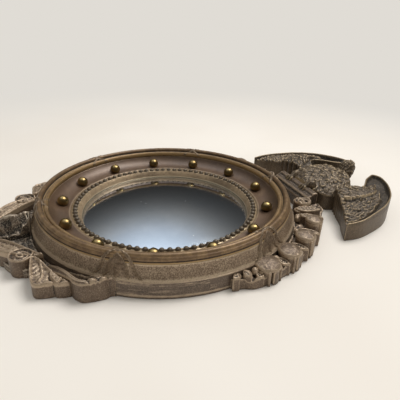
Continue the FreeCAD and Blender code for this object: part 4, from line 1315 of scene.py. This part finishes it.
def body_height(x, y, edge):
    xy = pairs(x, y)
    z = sphere_top(x, y, eagle_point(0, 51), 37.2, 61.0)
    field = np.zeros(len(xy))
    places = curled(xy, 2.0, 7.0, 34.0)
    for row in range(14):
        at_y = 88 - row * 5.4
        for k in range(-8, 9):
            at_x = (k + 0.5 * (row % 2)) * 5.4 + random.uniform(-1.8, 1.8)
            away = unit((at_x + random.uniform(-16, 16), -30 - 0.2 * abs(at_x)))
            root = eagle_point(at_x, at_y + random.uniform(-1.5, 1.5))
            size = random.uniform(7.5, 12.0)
            spine = bowed(root, root + away * size, random.uniform(-0.35, 0.35))
            feather(field, places, spine, random.uniform(2.3, 3.6), 0.1, random.uniform(1.6, 3.2), 1.3)
    lumps = 0.8 * noise(x, y, 8.0, 35.0)
    curls = strands(y, x, 36.0)
    return z + 0.8 * field + 0.65 * curls - 1.6 + 1.5 * lumps + 0.35 * noise(x, y, 1.6, 31.0)


right_half = plan_points(evenly(BODY_HALF, 0.75))
body_loop = np.vstack([right_half, other_side(right_half)])
breast = piece("eagle_breast", *relief_arrays(body_loop, body_height), replaces=("eagle_body",),
               slot="feather_bronze")
add_wear(breast, **FEATHER_WEAR, lift=lambda x, y, z: -0.08)
print("breast faces", len(breast.data.polygons))

# %% [markdown]
# The head and the legs are round, not relief. They are modelled as many overlapping balls along
# lines, and a voxel remesh melts them into one skin. Feathers are then pushed out of the skin in rows.

# %% Shapes melted from balls
def string_of_balls(points, radii, spacing=0.5):
    """Balls close together along a line, their radii blended from point to point."""
    points = np.asarray(points, float)
    lengths = np.linalg.norm(np.diff(points, axis=0), axis=1)
    at = np.concatenate([[0], np.cumsum(lengths)])
    count = max(2, int(at[-1] / spacing))
    t = np.linspace(0, at[-1], count)
    line = np.stack([np.interp(t, at, points[:, k]) for k in range(3)], 1)
    return [ball(p, r, 14, 9) for p, r in zip(line, np.interp(t, at, radii))]


def melted(name, parts, voxel, push, **seating):
    verts, faces = together(*parts)
    obj = piece(name, verts, faces, **seating)
    skin = obj.modifiers.new("skin", "REMESH")
    skin.mode = "VOXEL"
    skin.voxel_size = voxel * MM
    soften = obj.modifiers.new("soften", "SMOOTH")
    soften.factor, soften.iterations = 0.5, 3
    settle(obj)
    mesh = obj.data
    co = read_points(mesh, "co")
    moved = co + read_points(mesh, "normal") * push(co / MM)[:, None] * MM
    mesh.vertices.foreach_set("co", moved.ravel())
    mesh.update()
    shade_smooth(obj)
    print(name, len(obj.data.polygons), "faces")
    return add_wear(obj, 0.16, 0.5)


HEAD = np.array((*eagle_point(0, 84), 33.5))


def plumage(places):
    """Small pointed feathers in rows that run back from the beak."""
    away = places[:, 0] - (HEAD[0] - 11)
    turn_angle = np.arctan2(places[:, 2] - HEAD[2], places[:, 1] - HEAD[1])
    uneven = noise(places[:, 1], places[:, 2], 5.0, 6.0)
    row = away / 3.2 + 0.5 * np.sign(np.sin(turn_angle * 8)) + 0.4 * uneven
    scale = (row - np.floor(row)) ** 1.6
    cell = np.abs(np.sin(turn_angle * 8))
    on = smoothstep(3.5, 7.0, away)
    return on * (0.9 * scale * (0.4 + 0.6 * cell) + 0.2 * noise(places[:, 0], places[:, 2], 2.0, 3.0)) - 0.3


HEAD_LINES = (  # places from the head's middle; the balls' radii; how close they stand
    ([(1.5, -6, -10), (1.0, -2, -4), (-0.5, 0.5, 0)], [9.4, 9.4, 9.3], 1.2),                        # neck
    ([(0, 0.5, 0.4), (-6.5, 2.5, 1.2)], [9.2, 6.8], 0.8),                                          # skull
    ([(-5, 2.0, 1.0), (-10.5, 3.2, 0.2), (-14.0, 4.0, -3.2), (-14.9, 4.2, -6.4)], [5.2, 3.8, 2.2, 1.0], 0.5),
    ([(-9.0, -1.5, 4.4), (-3, -2.5, 7.2), (4, -1, 7.2)], [1.6, 2.4, 2.2], 0.5),                     # brows
    ([(-9.0, 6.0, 4.2), (-3, 6.5, 6.4), (4, 5, 6.2)], [1.6, 2.4, 2.2], 0.5))
head_parts = [part for places, radii, spacing in HEAD_LINES
              for part in string_of_balls(HEAD + places, radii, spacing)]
melted("eagle_head", head_parts, 0.6, plumage, replaces=("eagle_head",), slot="feather_bronze")

# %% Legs and talons on the bar
def leg_parts(side):
    hip = np.array((*eagle_point(side * 17, 21), 25.0))
    ankle = np.array((*eagle_point(side * 15, 13.5), 23.6))
    parts = string_of_balls([hip, ankle], [5.8, 3.0], 0.8)
    for lean, reach in ((-1, 6.5), (0, 7.5), (1, 6.5)):
        knuckle = ankle + (3.6 * lean, -3.0, 0.2)
        tip = ankle + (4.6 * lean, -reach, -2.6)
        parts += string_of_balls([ankle, knuckle, tip], [1.8, 1.6, 0.8], 0.5)
    return parts


def leg_feathers(places):
    x, y, _ = places.T
    return 0.5 * noise(x, y * 0.6, 1.8, 9.0) * smoothstep(PLINTH_FOOT + 8, PLINTH_FOOT + 14, y)


melted("eagle_legs", leg_parts(1) + leg_parts(-1), 0.6, leg_feathers, replaces=("eagle_legs",),
       slot="feather_bronze")

# %% The bar under the eagle and its rolled leaves
BAR_HALF, BAR_DEPTH, BAR_TOP = PLINTH_TOP[0], PLINTH_TOP[1] - PLINTH_FOOT, PLINTH_TOP[2]


def bar_height(x, y, edge):
    depth = (y - PLINTH_FOOT) / BAR_DEPTH
    z = BAR_TOP * np.interp(depth, (0, 0.10, 0.16, 0.22, 0.48, 0.52, 0.60, 0.66, 1),
                            (0.62, 0.64, 0.70, 0.82, 0.89, 0.88, 0.97, 1.0, 1.0))
    return z + 0.12 * noise(x, y * 3, 7.0, 41.0)


BAR_CORNERS = [(-BAR_HALF, PLINTH_FOOT), (BAR_HALF, PLINTH_FOOT), (BAR_HALF, PLINTH_FOOT + BAR_DEPTH),
               (-BAR_HALF, PLINTH_FOOT + BAR_DEPTH)]
bar_loop = outline(zip(BAR_CORNERS, BAR_CORNERS[1:] + BAR_CORNERS[:1]), 0.8)
bar = piece("eagle_bar", *relief_arrays(bar_loop, bar_height, spacing=0.8), replaces=("eagle_plinth",))
add_wear(bar, lift=lambda x, y, z: -0.4 * (z > 4))


def spiral(centre, start_radius, turns, start_angle, end_radius=0.6):
    a = np.linspace(0, 1, int(40 * turns))
    return on_circle(centre, start_radius * (1 - a) + end_radius * a,
                     math.radians(start_angle) + 2 * math.pi * turns * a)


def circle(centre, radius, spacing=0.75):
    count = int(2 * math.pi * radius / spacing)
    return on_circle(centre, radius, np.linspace(0, 2 * math.pi, count, endpoint=False))


BRACKET = eagle_point(42, -7.5)


def bracket_height(x, y, edge):
    xy = pairs(x, y)
    z = 20.4 - 0.02 * (x - BRACKET[0]) ** 2 - 2.8 * smoothstep(1.0, 3.5, edge)
    z += ridge(xy, spiral(BRACKET, 8.2, 1.7, -60), 1.3, 2.4) + 0.7 * noise(x, y, 4.0, 4.0)
    hole = np.hypot(x - BRACKET[0] - 4.5, y - BRACKET[1] + 3.6)
    z -= 7.0 * smoothstep(2.8, 1.0, hole)
    return np.minimum(z + 0.35 * noise(x, y, 1.8, 5.0), 22.8)


both_sides("bracket_leaf", relief_arrays(circle(BRACKET, 9.9), bracket_height, FOOT["bracket"]),
           ("plinth_bracket",))

# %% [markdown]
# ## The swags of acorns
# Beside the ring, four drum-shaped acorns climb towards the eagle. Each has a domed cap that tips
# outwards a little, and a wall with upright slots. Leaves point out of the hollows between them, and
# a berry sits deep in each hollow.

# %% Swag board
SWAG_OUTER = smooth_line([polar(6.5, -4), polar(8.5, 3), polar(11.5, 6), polar(16, 12), polar(27, 15.5),
                          polar(38.5, 19), polar(50.5, 24), polar(60, 29), polar(68.7, 33), polar(73.0, 39)])
ACORN_FIRST, ACORN_PITCH = 22.2, 11.3


def acorn_place(index):
    return (polar(ACORN_FIRST + ACORN_PITCH * index, 5.6 + 4.6 * index), 12.0 - index, 17.5 + 2.2 * index)


def ring_arc(start, end, beyond=0.05):
    angles = np.linspace(start, end, max(3, int(abs(end - start) / 0.35)))
    return np.array([polar(a, beyond) for a in angles])


def swag_height(x, y, edge):
    z = 8.4 + 1.3 * noise(x, y, 4.5, 51.0) + 0.9 * noise(x, y, 2.1, 52.0)
    return z + 1.5 * hump(edge, 2.0)


UNDER_EAGLE = plan_points([(37.3, 19), (37.3, -0.4), (33.0, -0.6), (31.2, -7.5)])
swag_loop = np.vstack([evenly(SWAG_OUTER[9:], 0.8), UNDER_EAGLE, ring_arc(72, 7.4, 0.2)])
both_sides("swag_board", relief_arrays(swag_loop, swag_height, spacing=0.9), ("swag_backing",))

# %% Acorns
def slotted_circle(centre, radius, outward, slots, half_width, depth):
    """A drum's outline with upright slots let into it."""
    a = np.linspace(0, 360, int(2 * math.pi * radius / 0.5), endpoint=False)
    reach = np.full(len(a), radius)
    for slot_angle in slots:
        gap = np.abs((a - outward - slot_angle + 180) % 360 - 180) * math.pi / 180 * radius
        reach -= depth * smoothstep(half_width + 0.5, half_width - 0.6, gap)
    return on_circle(centre, reach, np.radians(a))


def acorn_parts(index):
    centre, radius, top = acorn_place(index)
    outward = math.degrees(math.atan2(centre[1], centre[0]))
    way = unit(centre)

    def wall_top(x, y, edge):
        return top - 2.6 + 0.2 * noise(x, y, 2.0, index)

    def rib_top(x, y, edge):
        return np.full(len(x), top - 3.0)

    def cap_top(x, y, edge):
        reach = np.hypot(x - centre[0], y - centre[1]) / (radius + 0.2)
        lean = ((x - centre[0]) * way[0] + (y - centre[1]) * way[1]) / radius
        z = top + 1.9 - 3.4 * reach ** 2.4 - 0.9 * lean
        return z + 0.30 * noise(x, y, 4.5, 60.0 + index) + 0.15 * noise(x, y, 1.6, 61.0)

    walls = slotted_circle(centre, radius - 0.5, outward, (-32, 22), 1.9, 4.2)
    parts = [relief_arrays(walls, wall_top, FOOT["drum"], 1.0),
             relief_arrays(circle(centre, radius, 0.6), cap_top, top - 3.6, 0.65, roll=1.2)]
    for turn_angle in (-41.5, 33.5):
        foot = on_circle(centre, radius - 0.6, math.radians(outward + turn_angle))
        parts.append(relief_arrays(circle(foot, 1.5, 0.5), rib_top, FOOT["rib"]))
    return parts


def beyond_wall(verts):
    """Keeps a piece out of the ring: what would reach inside its wall is pressed back onto it."""
    verts = np.array(verts)
    reach = np.hypot(verts[:, 0], verts[:, 1])
    short = reach < FLANGE_RADIUS + 0.05
    verts[short, :2] *= ((FLANGE_RADIUS + 0.05) / reach[short])[:, None]
    return verts


acorn_verts, acorn_faces = together(*[part for index in range(4) for part in acorn_parts(index)])
# The tops of the caps, above 15 mm, are made lighter: a painted highlight on the domes, laid on as extra rub.
both_sides("acorns", (beyond_wall(acorn_verts), acorn_faces),
           lift=lambda x, y, z: 0.12 * smoothstep(15.0, 17.5, z))

# %% Berries and leaves in the hollows
def hollow_angle(index):
    return ACORN_FIRST + ACORN_PITCH * (index - 0.5)


berry_parts = []
for index in range(5):
    place = polar(hollow_angle(index), 3.9)
    berry_parts.append(ball((*place, 12.6), 3.1, 20, 12, 1.15))
    berry_parts.append(ball((*(polar(hollow_angle(index) + 1.6, 7.8)), 11.6), 2.3, 16, 10, 1.1))
both_sides("berries", together(*berry_parts))


def blade_loop(root, tip, width, bend=0.0, spacing=0.7):
    """A pointed leaf between two plan points."""
    spine = bowed(root, tip, bend, 25)
    t = np.linspace(0, 1, 25)
    half = width / 2 * np.sin(math.pi * t ** 0.8) ** 0.75
    half[0], half[-1] = width * 0.12, 0.25
    out = left_of(np.gradient(spine, axis=0)) * half[:, None]
    loop = np.vstack([spine + out, (spine - out)[::-1]])
    closed = evenly(np.vstack([loop, loop[:1]]), spacing)[:-1]
    return closed, spine


def leaf_height(spine, top, fall, rim=0.9, trough=1.4, rib=1.4, veins=7):
    length = line_length(spine)

    def height(x, y, edge):
        t, side = along(pairs(x, y), spine)
        z = top - fall * t + rim * hump(edge - 0.7, 0.7) - trough * smoothstep(0.8, 2.8, edge)
        z += rib * hump(side, 0.9) * smoothstep(1.0, 0.75, t)
        vein = np.cos(2 * math.pi * (t * veins - np.abs(side) * 1.1 * veins / length))
        z += 0.45 * vein * smoothstep(0.8, 2.0, edge)
        return z + 0.18 * noise(x, y, 1.3, 71.0)
    return height


swag_leaf_parts = []
for index in range(5):
    angle = hollow_angle(index)
    root, tip = polar(angle - 0.4, 6.0), polar(angle + 1.0, 13.0 + 4.6 * index)
    loop, spine = blade_loop(root, tip, 8.4, 0.05)
    height = leaf_height(spine, 13.2 + 1.2 * index, 3.0)
    swag_leaf_parts.append(relief_arrays(loop, height, FOOT["swag leaf"]))
END_LEAVES = (  # angle; reach beyond the ring at root and tip; width; top; how deep the trough is
    (8.6, 0.1, 6.0, 9.5, 14.5, -0.9), (12.6, 0.1, 9.0, 8.0, 15.0, -0.9),
    (67.5, 4.0, 31.0, 12.5, 18.5, 0.5), (63.4, 2.0, 24.0, 8.5, 15.5, 0.5))
for angle, start, end, width, top, trough in END_LEAVES:
    loop, spine = blade_loop(polar(angle, start), polar(angle + 0.8, end), width, 0.04)
    height = leaf_height(spine, top, 1.0, rim=0.0, trough=trough, rib=0.6)
    swag_leaf_parts.append(relief_arrays(loop, height, FOOT["swag leaf"] + 0.01 * angle))
SMALL_DRUM = np.array((54.5, 136.5))


def small_drum_top(x, y, edge):
    pocket = np.hypot(x - SMALL_DRUM[0] - 0.8, y - SMALL_DRUM[1] + 0.6)
    return 16.5 - 7.0 * smoothstep(3.4, 2.2, pocket) + 0.2 * noise(x, y, 1.5, 72.0)


swag_leaf_parts.append(relief_arrays(circle(SMALL_DRUM, 5.2, 0.6), small_drum_top, FOOT["small drum"], 0.6))
leaf_verts, leaf_faces = together(*swag_leaf_parts)
both_sides("swag_leaves", (beyond_wall(leaf_verts), leaf_faces))

# %% [markdown]
# ## The pendant
# Below the ring, a long C-scroll leaves the ring on each side and rolls up at its end. Next to it come
# a small oval leaf, a corner leaf, a volute, and a long leaf that lies back towards the ring, with a
# raised leaf down the middle. The ground between them is sunk, and painted shade makes it dark.

# %% Pendant ground
PENDANT_SCROLL = [polar(-32.0, 0.1), polar(-33.8, 2), polar(-35.2, 7), polar(-39.8, 15.4), polar(-43.0, 15.6),
                  polar(-45.3, 13.2)]
PENDANT_LEAF = [polar(-49.4, 20.4), polar(-50.8, 25.0), polar(-53.3, 30.3), polar(-56.3, 27.6),
                polar(-61.1, 19.4), polar(-63.6, 15.6)]
PENDANT_VOLUTE = [polar(-63.6, 15.6), polar(-63.6, 20.4), polar(-66.4, 25.6), polar(-71.1, 29.9),
                  polar(-76.0, 31.6)]
PENDANT_TIP_LINE = [polar(-76.0, 31.6), polar(-80.0, 35.0), polar(-85.5, 42.5), polar(-90, PENDANT_TIP)]
LOBE = [polar(-45.3, 13.2), polar(-46.3, 16.6), polar(-48.2, 20.0), polar(-49.4, 20.4)]


def pendant_ground(x, y, edge):
    return 7.6 + 1.4 * noise(x, y, 5.0, 81.0) + 0.9 * noise(x, y, 2.2, 82.0) - 0.6 * smoothstep(0, 3, edge)


half_line = outline((PENDANT_SCROLL, LOBE, PENDANT_LEAF, PENDANT_VOLUTE, PENDANT_TIP_LINE), 0.9)
ground_loop = np.vstack([half_line, [polar(-90, PENDANT_TIP - 0.5)], other_side(half_line),
                         ring_arc(-148, -32, 0.15)[1:-1]])
ground = piece("pendant_ground", *relief_arrays(ground_loop, pendant_ground, spacing=0.9, inset=0.35),
               replaces=("pendant_backing",))
# Painted shade: the sunk ground, between 5 and 11 mm high, is darkened.
add_wear(ground, lift=lambda x, y, z: -0.5 * smoothstep(11.0, 9.0, z) * (z > 5))

# %% C-scroll
SCROLL_INNER = [polar(-45.3, 13.2), polar(-51, 10.5), polar(-58, 9.5), polar(-65, 7.0), polar(-70, 2.0),
                polar(-71, 0.1)]
CURL = polar(-39.6, 6.6)
scroll_loop = np.vstack([outline((PENDANT_SCROLL, SCROLL_INNER), 0.7), ring_arc(-71, -32, 0.1)[:-1]])
SCROLL_RIM = smooth_line([polar(-33.2, 1.2), polar(-36.3, 8.6), polar(-40.4, 12.6), polar(-43.4, 12.4),
                          polar(-46.6, 9.6), polar(-51, 6.0), polar(-57, 3.2), polar(-63, 2.2),
                          polar(-70, 0.9)])


def scroll_height(x, y, edge):
    """A raised rim line sweeps in an arch from the ring to the rolled end, with a trough inside it."""
    xy = pairs(x, y)
    z = sphere_top(x, y, CURL, 18.6, 130.0)
    t, side = along(xy, SCROLL_RIM)
    z += 2.0 * hump(side, 1.5) - 0.9 * hump(side, 0.55)
    within = smoothstep(1.6, 3.2, -side) * smoothstep(0.12, 0.30, t)
    beyond = np.hypot(x, y) - FLANGE_RADIUS
    z -= within * (3.0 + 5.5 * smoothstep(5.5, 1.5, np.abs(beyond - 4.6)) * smoothstep(0.62, 0.45, t))
    for angle, out, size in ((-38.2, 8.4, 2.7), (-35.4, 4.2, 2.6), (-40.6, 5.6, 2.2)):
        lobe = np.hypot(*(xy - polar(angle, out)).T)
        z += 2.6 * hump(lobe, size)
        z -= 1.2 * hump(lobe - size * 1.5, 0.7)
    pebbles = noise(x, y, 1.6, 91.0) + 0.6 * noise(x, y, 0.9, 92.0)
    return np.minimum(z + 0.35 * pebbles * within + 0.15 * pebbles, 21.4)


both_sides("c_scroll", relief_arrays(scroll_loop, scroll_height, FOOT["c-scroll"]))

# %% Corner leaf with the small oval leaf
CORNER_INNER = [polar(-63.6, 15.6), polar(-64.3, 12.0), polar(-62, 9.6), polar(-56, 10.6), polar(-50, 12.2),
                polar(-45.6, 13.8)]
corner_loop = outline((LOBE, PENDANT_LEAF, CORNER_INNER), 0.7)
CORNER_RIB = smooth_line([polar(-60, 11.5), polar(-56.5, 15.5), polar(-54, 21), polar(-53.4, 28.5)])
OVAL_RIB = smooth_line([polar(-53.5, 11.5), polar(-50.5, 13.5), polar(-48.3, 18.8)])


def corner_height(x, y, edge):
    """The leaf falls from its back to its tip; raised lines edge it, and the oval leaf has its own."""
    xy = pairs(x, y)
    t, side = along(xy, CORNER_RIB)
    t_oval, side_oval = along(xy, OVAL_RIB)
    z = 18.2 - 4.6 * t ** 1.3
    oval_half = 4.0 * np.sin(math.pi * np.clip(t_oval, 0.02, 0.98) ** 0.75) ** 0.8
    oval = smoothstep(oval_half + 0.4, oval_half - 0.4, np.abs(side_oval)) * (t_oval > 0.01)
    z += 1.2 * hump(edge - 0.9, 0.7) * (1 - oval) - 1.0 * smoothstep(1.2, 3.6, edge) * (1 - oval)
    z += 1.5 * hump(side, 0.9) * smoothstep(1.0, 0.8, t) * (1 - oval)
    veins = np.cos(2 * math.pi * (t * 5 - np.abs(side) * 0.16 + 0.06 * noise(x, y, 5.0, 94.0)))
    z += 0.20 * veins * smoothstep(1, 3, edge) * (1 - oval) + 0.35 * noise(x, y, 2.6, 90.0) * (1 - oval)
    z = z * (1 - oval) + oval * (16.2 - 1.2 * t_oval)
    z += 1.2 * hump(np.abs(side_oval) - oval_half, 0.6) * smoothstep(0.0, 0.1, t_oval)
    z -= 1.8 * hump(np.abs(side_oval) - oval_half - 1.7, 0.7) * smoothstep(0.1, 0.3, t_oval)
    return z + 0.3 * noise(x, y, 1.4, 93.0) * smoothstep(0.5, 2, edge)


both_sides("corner_leaf", relief_arrays(corner_loop, corner_height, FOOT["corner leaf"]),
           lift=lambda x, y, z: 0.62 * smoothstep(10.5, 12.5, z))

# %% Volute
VOLUTE = polar(-68.0, 18.2)


def volute_height(x, y, edge):
    xy = pairs(x, y)
    z = 18.4 - 2.2 * smoothstep(0.8, 2.6, edge) + ridge(xy, spiral(VOLUTE, 7.4, 1.4, -40, 1.2), 1.3, 1.6)
    return np.minimum(z + 0.7 * noise(x, y, 4.0, 89.0) + 0.35 * noise(x, y, 1.5, 95.0), 20.2)


both_sides("volute", relief_arrays(circle(VOLUTE, 10.6, 0.7), volute_height, FOOT["volute"], 0.65))

# %% Long leaf and the middle leaf
long_loop, long_spine = blade_loop(polar(-84.5, 37.0), polar(-64.5, 2.5), 16.0, -0.10)


def long_height(x, y, edge):
    t, side = along(pairs(x, y), long_spine)
    z = 14.6 + 2.6 * np.sin(math.pi * np.clip(t, 0, 1))
    z += 1.5 * hump(edge - 0.9, 0.6) - 1.1 * smoothstep(1.2, 3.2, edge)
    z += 1.0 * hump(side - 2.0 * (1 - t), 0.7)
    grain = noise(x, y, 1.3, 97.0) + 0.7 * noise(x, y, 2.6, 98.0)
    return z + 0.45 * grain * smoothstep(1.0, 2.2, edge)


both_sides("long_leaf", relief_arrays(long_loop, long_height, FOOT["long leaf"]),
           lift=lambda x, y, z: 0.70 * smoothstep(11.5, 13.0, z))

RIDGE_TOP = corners_mm("pendant_ridge")[1][2]
ridge_half = [(7.8, -FLANGE_RADIUS - 0.2), (12.0, -FLANGE_RADIUS - 6), (13.0, -FLANGE_RADIUS - 13),
              (9.5, -FLANGE_RADIUS - 26), (4.0, -FLANGE_RADIUS - 38),
              (0.0, -FLANGE_RADIUS - PENDANT_TIP + 2.6)]
ridge_line = evenly(smooth_line(ridge_half), 0.7)
ridge_loop = np.vstack([ridge_line, other_side(ridge_line)[1:]])


def ridge_height(x, y, edge):
    """A soft lobed ridge down the middle that falls away on both sides to the dark pockets."""
    down = -FLANGE_RADIUS - y
    z = RIDGE_TOP - 1.4 - 0.0050 * down ** 2
    aside = np.abs(x) + 0.8 * noise(x, y, 5.0, 100.0)
    z -= 7.5 * smoothstep(0.5, 6.5, aside) * smoothstep(-4, 6, down)
    z -= 8.0 * smoothstep(5.0, 8.0, aside) * smoothstep(6.0, 10.0, down)
    z += 0.5 * hump(x, 2.0)
    z += 0.9 * noise(x, y, 4.6, 99.0) + 0.6 * noise(x, y, 2.2, 96.0) + 0.35 * noise(x, y, 1.4, 102.0)
    z -= 3.6 * smoothstep(0.25, 0.6, noise(x, y, 5.0, 101.0)) * smoothstep(1.0, 3.0, aside)
    return np.maximum(z, 9.3 + 0.4 * noise(x, y, 2.2, 96.0))


def ridge_lift(x, y, z):
    """Painted shade: its low flanks, where they fall to the pockets, are darkened, and its crest is made a
    little darker too.
    """
    return -0.7 * smoothstep(13.0, 10.0, z) * (np.abs(x) < 14) - 0.35 * smoothstep(12.0, 15.0, z)


middle_leaf = piece("middle_leaf", *relief_arrays(ridge_loop, ridge_height, FOOT["middle leaf"]),
                    replaces=("pendant_ridge",))
add_wear(middle_leaf, lift=ridge_lift)
print("pendant done")

# %% [markdown]
# ## Finishes on what the frame already shapes well
# The back, the hanger and the screws keep the frame's own meshes and only get their finishes.

# %% Brass, card, board and steel
def simple_finish(name, one, two, size_mm, rough, metallic=0.0, stretch=(1, 1, 1), bump_mm=0.05):
    made, tree, shader, _ = new_material(name)
    place = object_place(tree)
    laid = feed(tree, node(tree, "ShaderNodeMapping"), Vector=place, Scale=stretch)
    tone = cloud(tree, laid.outputs[0], size_mm, detail=6, roughness=0.7)
    share = ((tone + cloud(tree, place, size_mm * 14, detail=3)) * 0.5).spread(0.38, 0.62)
    bump = feed(tree, node(tree, "ShaderNodeBump"), Strength=0.6, Distance=bump_mm * MM, Height=tone)
    feed(tree, shader, Base_Color=mix_colour(tree, share, srgb(*one), srgb(*two)), Metallic=metallic,
         Roughness=tone.spread(0.3, 0.7, rough, rough + 0.15), Normal=bump.outputs["Normal"])
    return made


MATERIALS.update({
    "silver_paint": simple_finish("silver_paint", (120, 118, 112), (146, 144, 138), 2.0, 0.5, 0.3),
    "grey_card": simple_finish("grey_card", (128, 122, 112), (150, 144, 132), 1.0, 0.85),
    "hardboard": simple_finish("hardboard", (104, 74, 48), (134, 98, 66), 1.2, 0.75, bump_mm=0.12),
    "zinc_steel": simple_finish("zinc_steel", (150, 150, 148), (182, 180, 172), 1.0, 0.32, 0.95),
    "brassed_steel": simple_finish("brassed_steel", (150, 120, 66), (182, 150, 90), 1.0, 0.30, 0.95),
    "beech": simple_finish("beech", (190, 150, 108), (208, 172, 130), 1.6, 0.6, stretch=(1, 1, 6)),
})


def brass_material():
    """Old polished brass, darker towards the bottom of each ball: painted shade on the underside."""
    made, tree, shader, _ = new_material("polished_brass")
    finish = aged_bronze(tree, (52, 40, 22), (164, 140, 94), (208, 194, 150), Rub=1.0, Grime=1.0, Dust=0.1,
                         Patches=0.35, Grain=0.2).outputs
    parts = feed(tree, node(tree, "ShaderNodeSeparateXYZ"), Vector=object_place(tree))
    # The lower part of each ball is mixed towards dark brown: painted shade on its underside.
    low = Field(tree, parts.outputs["Z"]).spread(0.0262, 0.0190)
    feed(tree, shader, Base_Color=mix_colour(tree, low * 0.85, finish["Colour"], srgb(50, 38, 22)),
         Metallic=1.0, Roughness=Field(tree, finish["Roughness"]).spread(0.3, 0.7, 0.27, 0.44))
    return made


MATERIALS["polished_brass"] = brass_material()
print("finishes in all", len(MATERIALS))

# %% Dressing every visible piece
NODE_FINISH = {"silver_coat": "silver_paint", "glass_spacer": "grey_card", "backboard": "hardboard",
               "backboard_screws": "zinc_steel", "hanger_plate": "brassed_steel",
               "hanger_screws": "brassed_steel", "hanging_ring": "brassed_steel", "ornament_dowels": "beech"}
finish_of = {obj: NODE_FINISH.get(name, "carved_bronze") for name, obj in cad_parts.items()}
OWN_FINISH = {"stippled_slope": "stippled_bronze", "ribbon_ties": "tie_bronze",
              "middle_leaf": "pendant_bronze", "pendant_ground": "pendant_bronze"}
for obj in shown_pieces():
    chosen = OWN_FINISH.get(obj.name.split(".")[0]) or obj.get("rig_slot") or finish_of[obj]
    obj.data.materials.clear()
    obj.data.materials.append(MATERIALS[chosen])
